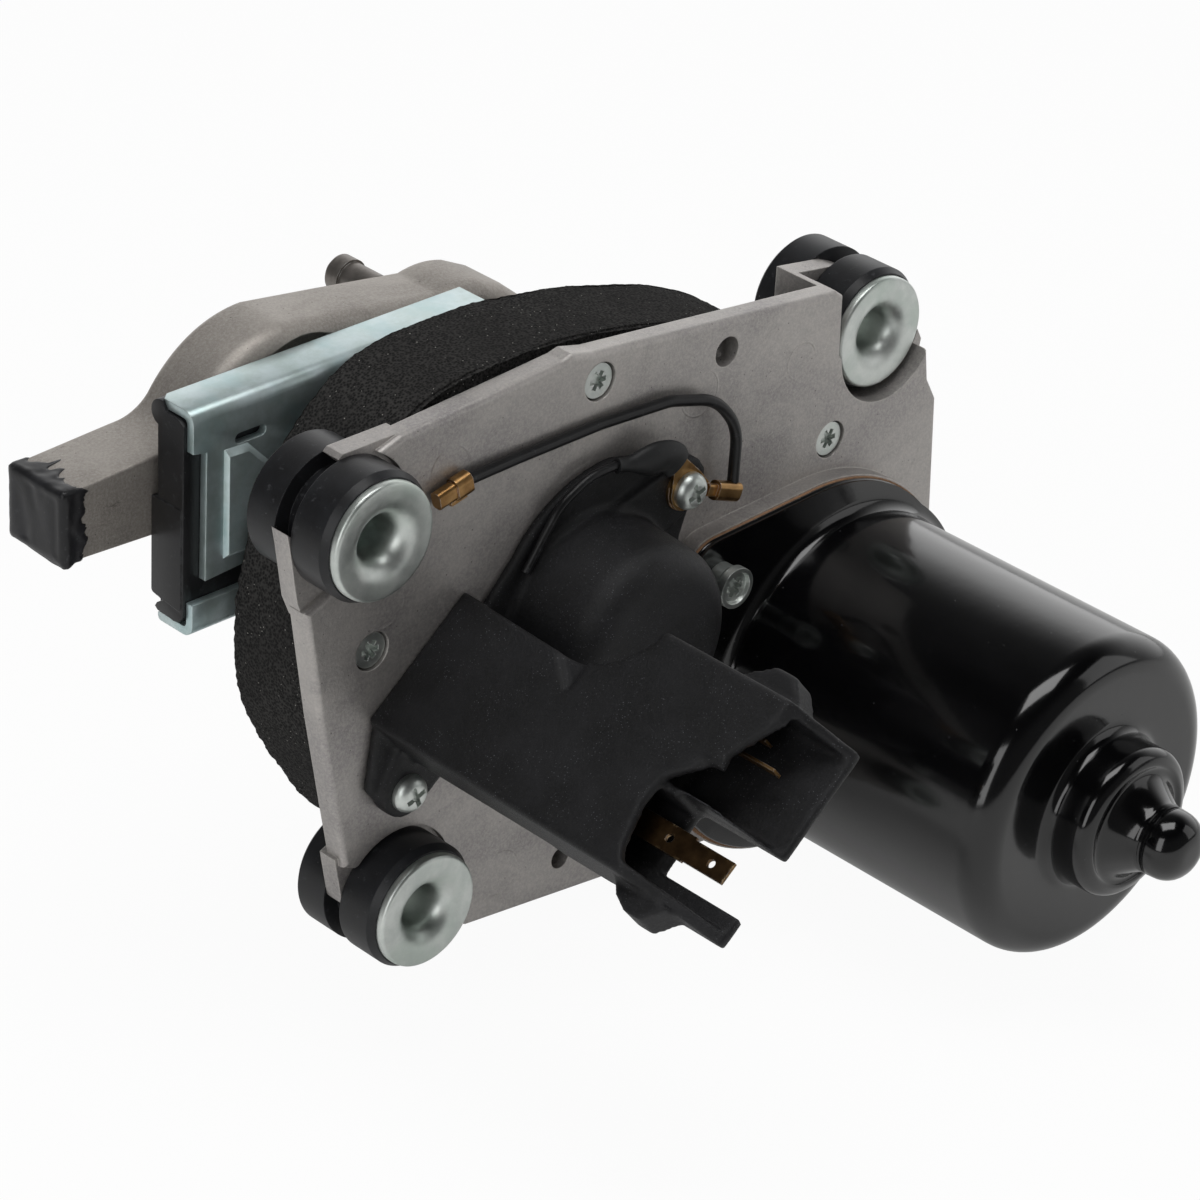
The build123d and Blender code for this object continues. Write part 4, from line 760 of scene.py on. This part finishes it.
# ---------------------------------------------------------------- motor can
def can_shell():
    """The drawn motor can: flange, root fillet, rounded end, bearing cup and the nose with its flare."""
    nose = [(0, -92.8), (1.6, -92.75)] + arc((1.6, -92.75), (5.9, -90.9), (7.3, -87.2), 10)
    nose += [(7.4, -85.6), (7.2, -85.3), (7.4, -85.0), (7.2, -84.7), (7.45, -84.4), (7.5, -84.0)]
    nose += [(7.9, -83.0), (8.7, -81.6), (9.6, -80.3), (10.4, -79.3), (11.0, -78.7)]
    nose += [(11.6, -78.4), (12.4, -78.3)] + arc((12.4, -78.3), (13.1, -78.75), (14.0, -78.55), 4)
    nose += arc((14.0, -78.55), (15.55, -77.6), (16.1, -75.8), 6)
    nose += [(16.1, -73.5), (16.1, -71.2)] + arc((16.1, -71.2), (16.89, -69.29), (18.8, -68.5), 7)
    nose += [(20.5, -68.5), (24.5, -68.45), (28.2, -68.5)] + arc((28.2, -68.5), (32.87, -66.57), (34.8, -61.9), 12)
    wall = [(34.8, -45), (34.8, -30), (34.8, -15), (34.8, 0.6)]
    wall += arc((34.8, 0.6), (35.6, 2.8), (37.6, 3.8), 6)
    inner = [(37.6, 5.25), (33.0, 5.25), (33.0, -62.2), (28.4, -66.7), (17, -66.7), (14.2, -68.6), (14.2, -75.4)]
    inner += [(8.4, -75.4), (3.6, -79.6), (3.6, -86.4), (0.6, -88.6), (0, -88.6)]
    profile = [(radius, depth + LATHE_TO_FRAME) for radius, depth in nose + wall + inner]
    can = turned("can_shell", profile, CAN_AXIS, 144)
    screw = (94.0, -42.3)
    far = (2 * CAN_AXIS[0] - screw[0], 2 * CAN_AXIS[1] - screw[1])
    outline = densified(hull(circle((124, -74), 41.3, 90) + circle(screw, 8.4, 40) + circle(far, 8.4, 40)), 2.5)
    rings = []
    for y, shrink in ((-8.95, 0.35), (-9.25, 0.0), (-10.05, 0.0), (-10.4, 0.35)):
        ring = []
        for x, z in outline:
            towards = Vector((x - 126, z - 75)).normalized()
            ring.append((x - towards.x * shrink, y, z - towards.y * shrink))
        rings.append(ring)
    inner_ring = []
    for point in outline:
        away = (Vector(point) - Vector(CAN_AXIS)).normalized()
        inner_ring.append((CAN_AXIS[0] + 36.5 * away.x, CAN_AXIS[1] + 36.5 * away.y))
    rings.append([(x, -10.4, z) for x, z in inner_ring])
    rings.append([(x, -8.95, z) for x, z in inner_ring])
    flange = looped("flange", rings)
    holes = [slab("hole", circle(place, 2.3, 24), -12, -7) for place in (screw, far)]
    carve(flange, *holes)
    carve(can, flange, operation="UNION")
    seat(can, "root", "black_paint", "motor_can", angle=50)


can_shell()


# ---------------------------------------------------------------- sleeves
def flanged_sleeves():
    """Pressed zinc sleeves: a flat flange that turns down into the bore."""
    profile = [(12.0, 1.8), (12.0, 0.75)] + arc((12.0, 0.75), (11.75, 0.25), (11.2, 0.06), 4)
    profile += [(10.0, 0.03), (8.9, 0.1)] + arc((8.9, 0.1), (6.1, 1.15), (4.55, 4.0), 10)
    profile += [(4.25, 6.0), (4.2, 9.0), (4.2, 24.6), (4.5, 25.0), (5.3, 25.0), (5.6, 24.6), (5.6, 1.8)]
    for name, (x, z, setback) in MOUNTS.items():
        placed = [(radius, y + setback + LATHE_TO_FRAME) for radius, y in profile]
        sleeve = turned(f"flanged_sleeve_{name}", placed, (x, z), 80)
        seat(sleeve, "root", "zinc", f"sleeve_{name}", angle=60)


flanged_sleeves()


# ---------------------------------------------------------------- rail and slider
RAIL_LEFT, RAIL_RIGHT = -11.5, 64.0
RAIL_FRONT, RAIL_BACK = 26.8, 37.0
RAIL_TOP, RAIL_BOTTOM = 13.4, -34.6
SHEET = 1.8


def channel_rail():
    """The plated channel: a web with both flanges turned back, a pressed panel, a slot and a notch."""
    section = rounded([
        (RAIL_FRONT, RAIL_TOP, 2.6), (RAIL_BACK, RAIL_TOP, 0.5), (RAIL_BACK, RAIL_TOP - SHEET, 0.3),
        (RAIL_FRONT + SHEET, RAIL_TOP - SHEET, 1.0), (RAIL_FRONT + SHEET, RAIL_BOTTOM + SHEET, 1.0),
        (RAIL_BACK, RAIL_BOTTOM + SHEET, 0.4), (RAIL_BACK, RAIL_BOTTOM, 1.0), (RAIL_FRONT, RAIL_BOTTOM, 2.6),
    ])
    rail = bar("channel_rail", section, RAIL_LEFT, RAIL_RIGHT)
    panel_foot = [(-4.0, 3.6), (1.6, 3.4), (7.4, -2.6), (22, -2.6), (22, -19.6), (-4.0, -19.6)]
    panel_top = [(-3.6, 2.4), (1.1, 2.2), (6.9, -3.8), (20.8, -3.8), (20.8, -18.4), (-3.6, -18.4)]
    stages = [(panel_foot, RAIL_FRONT + 0.4), (panel_foot, RAIL_FRONT - 0.02), (panel_top, RAIL_FRONT - 1.2)]
    panel = from_rings("panel", [[(x, y, z) for x, z in ring] for ring, y in stages])
    carve(rail, panel, operation="UNION")
    notch = [(-15, 5.6), (-8.2, 4.4), (-8.4, -23), (6, -22), (6, -27.4), (-15, -27.4)]
    corner = from_rings("corner", [
        [(-12.5, 38, z), (-12.5, 34.4, z), (-8.3, 38, z)] for z in (RAIL_TOP - 4, RAIL_TOP + 4)
    ])
    slot = hull(circle((-0.25, 4.9), 1.15, 20) + circle((5.05, 4.9), 1.15, 20))
    carve(
        rail,
        slab("notch", notch, RAIL_FRONT - 3, RAIL_FRONT + SHEET + 1.6),
        slab("slot", slot, RAIL_FRONT - 3, RAIL_FRONT + 4),
        slab("shaft_hole", circle(OUTPUT_AXIS, 4.0, 40), RAIL_FRONT - 3, RAIL_FRONT + 4),
        slab("planet_hole", circle(PLANET_AXIS, 2.55, 32), RAIL_FRONT - 3, RAIL_FRONT + 4),
        corner,
    )
    round_edges(rail, 0.28)
    seat(rail, "output_head", "zinc_sheet", "slide_rail", angle=40)


channel_rail()


def slider_block():
    """The moulded slider that runs in the channel, with a beaded end face."""
    front, top, bottom = RAIL_FRONT + SHEET + 0.15, RAIL_TOP - SHEET - 0.15, RAIL_BOTTOM + SHEET + 0.15
    section = rounded([(front, top, 1.0), (37.7, top, 0.8), (37.7, bottom, 0.8), (front, bottom, 1.0)])
    block = bar("slider_block", section, RAIL_LEFT + 1.2, 9.0)
    face = [(front, -30.4), (front, 10.2), (30.4, 11.1), (34.0, 11.3), (34.7, 12.4), (35.1, 13.3)]
    face += arc((35.1, 13.3), (38.1, 9.8), (36.2, 7.9), 10)
    face += [(36.2, -7.2), (37.8, -7.7), (37.8, -27.6)] + arc((37.8, -27.6), (37.3, -28.6), (36.1, -28.9), 4)
    face += [(34.7, -29.3), (36.4, -30.4), (37.0, -31.4), (36.2, -32.0), (32.4, -32.2)]
    face += arc((32.4, -32.2), (29.8, -31.8), (front, -30.4), 5)[:-1]
    end = bar("end", face, RAIL_LEFT - 0.75, RAIL_LEFT + 1.5)
    lower = [(front + 0.4, -7.6, 0.3), (37.8, -7.6, 0.3), (37.8, -28.4, 0.8), (front + 0.4, -29.6, 0.8)]
    step = bar("step", rounded(lower), RAIL_LEFT - 1.0, RAIL_LEFT - 0.3)
    carve(block, end, step, operation="UNION")
    round_edges(block, 0.25)
    seat(block, "wiper_arm", "slider_plastic", "slider", angle=40)


slider_block()


# ---------------------------------------------------------------- arm casting
POCKET_RADIUS, POCKET_TOP = 24, 20.3
ARM_FRONT, ARM_BACK = 37.8, 53.8
STUB_END = -33.5


def arm_casting():
    """The cast arm: a square stub running into a round-backed body with its front edge well rounded."""
    outline = [(STUB_END, -15.7), (STUB_END, -0.9), (-9, 0.4)]
    outline += arc((-9, 0.4), (-4.6, 1.5), (-1.2, 4.2), 8)
    outline += arc((-1.2, 4.2), (8.6, 13.4), (21.5, 16.8), 18)
    outline += [(40, 14.2), (62.4, 10.9)] + arc((62.4, 10.9), (67.8, 11.5), (73.7, 10.5), 8)
    outline += [(80, 7.5), (92, -2)] + arc((92, -2), (95.4, -8.4), (92, -15), 12)
    outline += [(74, -28), (21.5, -33.6)] + arc((21.5, -33.6), (8.6, -30.4), (-1.2, -21.2), 18)
    outline += arc((-1.2, -21.2), (-4.6, -18.2), (-9, -16.8), 8)
    outline = densified(outline, 1.3)
    count = len(outline)
    inward = []
    for k in range(count):
        run = Vector(outline[(k + 1) % count]) - Vector(outline[k - 1])
        inward.append(Vector((run.y, -run.x)).normalized())
    rings = []
    quarter = [math.radians(a) for a in (0, 15, 30, 45, 60, 75, 90)]
    for end, sign in ((ARM_FRONT, 1), (ARM_BACK, -1)):
        side = []
        for a in quarter:
            ring = []
            for (x, z), inside in zip(outline, inward):
                body = blend(x, -11, 4)
                reach = 0.7 + body * (3.6 if sign > 0 else 1.0)
                sunk = reach * (1 - math.sin(a))
                ring.append((x + inside.x * sunk, end + sign * reach * (1 - math.cos(a)), z + inside.y * sunk))
            side.append(ring)
        rings += side if sign > 0 else side[::-1]
    arm = from_rings("arm_casting", rings)
    flat_top = PLANET_AXIS[1] + POCKET_TOP
    pocket = [point for point in circle(PLANET_AXIS, POCKET_RADIUS, 96) if point[1] < flat_top]
    half = math.sqrt(POCKET_RADIUS ** 2 - POCKET_TOP ** 2)
    pocket = hull(pocket + [(PLANET_AXIS[0] - half, flat_top), (PLANET_AXIS[0] + half, flat_top)])
    slot = hull(circle((26.3, -10.5 + 14.9), 2.6, 24) + circle((26.3, -10.5 - 14.9), 2.6, 24))
    carve(
        arm,
        slab("pocket", pocket, ARM_FRONT - 2, ARM_FRONT + 5),
        slab("crown", circle((24.3, -4.9), 19, 80), ARM_FRONT - 2, ARM_FRONT + 5),
        slab("slot", slot, ARM_FRONT - 2, ARM_FRONT + 9),
    )
    seat(arm, "wiper_arm", "cast_arm", "arm", angle=38)


arm_casting()


def stub_coat():
    """The thick black dip on the stub's end: a lipped skin with drips, fuller at the lower corner."""
    half_y, half_z, middle_y, middle_z = 8.0, 7.4, 45.8, -8.3
    corners = [(-half_y, -half_z, 0.9), (half_y, -half_z, 0.9), (half_y, half_z, 0.9), (-half_y, half_z, 0.9)]
    perimeter = densified(rounded(corners, 6), 0.32)
    stages = [(2.0, -0.5), (1.2, 0.05), (0.5, 0.3), (-0.3, 0.42)]
    rings = []

    def lip(y, z):
        run = noise.noise(Vector((y * 0.42, z * 0.42, 7.7)))
        drip = max(0.0, noise.noise(Vector((y * 0.9, z * 0.9, 2.2)))) ** 2 * 9 * blend(z, 5, 7.3)
        return -29.4 + run * 2.4 + noise.noise(Vector((y * 1.9, z * 1.9, 3.1))) * 0.7 + drip

    def full(x, y, z):
        corner = blend(-z, 1.0, 8.0) * blend(-y, -7.0, 7.5) * blend(-x, 30.5, 33)
        return 0.55 * corner + noise.noise(Vector((x * 0.5, y * 0.4, z * 0.4))) * 0.22

    def add_ring(place_x, thick):
        ring = []
        for y, z in perimeter:
            x = place_x(y, z)
            grow = thick + (full(x, y, z) if thick > 0 else 0)
            ring.append((x, middle_y + y * (1 + grow / half_y), middle_z + z * (1 + grow / half_z)))
        rings.append(ring)

    for ahead, thick in stages:
        add_ring(lambda y, z, ahead=ahead: lip(y, z) + ahead * 0.5, thick)
    for k in range(1, 9):
        share = k / 9
        add_ring(lambda y, z, share=share: lip(y, z) * (1 - share) - 33.2 * share, 0.45)
    for x, thick in ((-33.55, 0.28), (-33.85, -0.25), (-34.0, -0.95)):
        add_ring(lambda y, z, x=x: x, thick)
    for shrink in (0.82, 0.7, 0.56, 0.42, 0.28, 0.14):
        ring = []
        for y, z in perimeter:
            sunk = noise.noise(Vector((y * shrink * 0.34, z * shrink * 0.12, 4.4))) * 0.42 + 0.12
            ring.append((-34.02 + max(0.0, sunk), middle_y + y * shrink, middle_z + z * shrink))
        rings.append(ring)
    coat = from_rings("stub_coat", rings)
    seat(coat, "wiper_arm", "rubber", finish=FINISHES["dip_coat"], angle=70)


stub_coat()


# ---------------------------------------------------------------- moulded cover
def cover_moulding():
    """The moulded cover with every edge run soft, most where its dome meets the block."""
    cover = copied("cover", "cover_moulding")

    def softness(place):
        near = math.hypot(place.x - 60.2, place.z + 39.1)
        joint = blend(near, 28.5, 23.5) * blend(near, 13.0, 17.0) * blend(place.y, -12.5, -17.5)
        return 0.4 + 0.6 * joint

    melt(cover, 0.62, 9, softness, 70000)
    seat(cover, "root", "cover_plastic", "cover", angle=75)


cover_moulding()


# ---------------------------------------------------------------- camera, light and floor
def look():
    """The camera, turned a little about its own line of sight."""
    place, lens = (-0.4978, -0.5584, 0.4081), 138.5
    azimuth, elevation, roll = [math.radians(a) for a in (-45.53, 29.54, 3.29)]
    back = Vector((
        math.sin(azimuth) * math.cos(elevation),
        -math.cos(azimuth) * math.cos(elevation),
        math.sin(elevation),
    ))
    right = Vector((math.cos(azimuth), math.sin(azimuth), 0))
    up = back.cross(right)
    tilted_right = math.cos(roll) * right + math.sin(roll) * up
    tilted_up = back.cross(tilted_right)
    data = bpy.data.cameras.new("camera")
    data.sensor_width = 36
    data.lens = lens
    data.clip_start, data.clip_end = 0.01, 20
    camera = bpy.data.objects.new("camera", data)
    turn = Matrix((tilted_right, tilted_up, back)).transposed().to_4x4()
    camera.matrix_world = Matrix.Translation(place) @ turn
    bpy.context.scene.collection.objects.link(camera)
    bpy.context.scene.camera = camera


def softbox(name, place, aim, size, power):
    """A rectangular lamp that faces its aim."""
    data = bpy.data.lights.new(name, "AREA")
    data.shape = "RECTANGLE"
    data.size, data.size_y = size
    data.energy = power
    lamp = bpy.data.objects.new(name, data)
    lamp.location = place
    lamp.rotation_mode = "QUATERNION"
    lamp.rotation_quaternion = (Vector(aim) - Vector(place)).to_track_quat("-Z", "Y")
    bpy.context.scene.collection.objects.link(lamp)


MIDDLE = (CAD_BOX[0] + CAD_BOX[1]) / 2
look()
softbox("top_softbox", MIDDLE + Vector((-0.05, -0.05, 1.1)), MIDDLE, (0.8, 0.5), 5)
softbox("left_softbox", MIDDLE + Vector((-1.1, -0.35, 0.45)), MIDDLE, (0.5, 0.9), 3.4)
softbox("right_softbox", MIDDLE + Vector((0.9, -0.9, 0.5)), MIDDLE, (0.6, 0.9), 1.5)


def studio():
    """White beyond the object, and a dim room on the camera's side of it."""
    world = bpy.data.worlds.new("studio")
    world.use_nodes = True
    tree = world.node_tree
    tree.nodes.clear()

    def add(kind, settings, sockets):
        node = tree.nodes.new("ShaderNode" + kind)
        for key, value in settings.items():
            setattr(node, key, value)
        for key, value in sockets.items():
            if isinstance(value, bpy.types.NodeSocket):
                tree.links.new(value, node.inputs[key])
            else:
                node.inputs[key].default_value = value
        return node

    direction = add("TexCoord", {}, {}).outputs["Generated"]
    away = add("VectorMath", {"operation": "DOT_PRODUCT"}, {0: direction, 1: (0.74, 0.67, 0.0)})
    height = add("SeparateXYZ", {}, {0: direction})

    def rise(value, low, high, least, most):
        ends = {"Value": value, "From Min": low, "From Max": high, "To Min": least, "To Max": most}
        return add("MapRange", {"interpolation_type": "SMOOTHSTEP"}, ends).outputs[0]

    low_down = rise(height.outputs["Z"], 0.8, 0.35, 0.1, 1.0)
    beyond = add(
        "Math", {"operation": "MULTIPLY"}, {0: rise(away.outputs["Value"], 0.1, 0.95, 0.08, 1.4), 1: low_down}
    )
    path = add("LightPath", {}, {})
    straight = {0: path.outputs["Is Camera Ray"], 1: path.outputs["Is Transmission Ray"]}
    seen = add("Math", {"operation": "ADD"}, straight)
    strength = add(
        "Mix",
        {"data_type": "FLOAT"},
        {0: path.outputs["Is Glossy Ray"], 2: 0.3, 3: beyond.outputs[0]},
    )
    shown = add("Mix", {"data_type": "FLOAT"}, {0: seen.outputs[0], 2: strength.outputs[0], 3: 1.0})
    glow = add("Background", {}, {"Color": (1, 1, 1, 1), "Strength": shown.outputs[0]})
    add("OutputWorld", {}, {"Surface": glow.outputs[0]})
    bpy.context.scene.world = world


studio()


def table():
    """A plain pale floor just under the object, which keeps its shadow."""
    side = 3.0
    level = CAD_BOX[0].z - 0.2 * MM
    mesh = bpy.data.meshes.new("floor")
    turns = ((-1, -1), (1, -1), (1, 1), (-1, 1))
    corners = [(MIDDLE.x + a * side, MIDDLE.y + b * side, level) for a, b in turns]
    mesh.from_pydata(corners, [], [(0, 1, 2, 3)])
    floor = bpy.data.objects.new("floor", mesh)
    bpy.context.scene.collection.objects.link(floor)
    f = Finish("floor_paper", srgb(244, 244, 243), 0.9)
    path = f.add("LightPath")
    seen = Level(f, path.outputs["Is Camera Ray"]) + Level(f, path.outputs["Is Transmission Ray"])
    seen = (seen + Level(f, path.outputs["Is Glossy Ray"]) * 0.25).least(1.0)
    white = f.add("Emission", {}, {"Color": (1, 1, 1, 1), "Strength": 1.0}).outputs[0]
    both = f.add("MixShader", {}, {0: seen * 0.95, 1: f.shader.outputs[0], 2: white}).outputs[0]
    f.tree.links.new(both, f.tree.nodes["Material Output"].inputs["Surface"])
    mesh.materials.append(f.material)


table()

bpy.context.scene.view_settings.view_transform = "Standard"
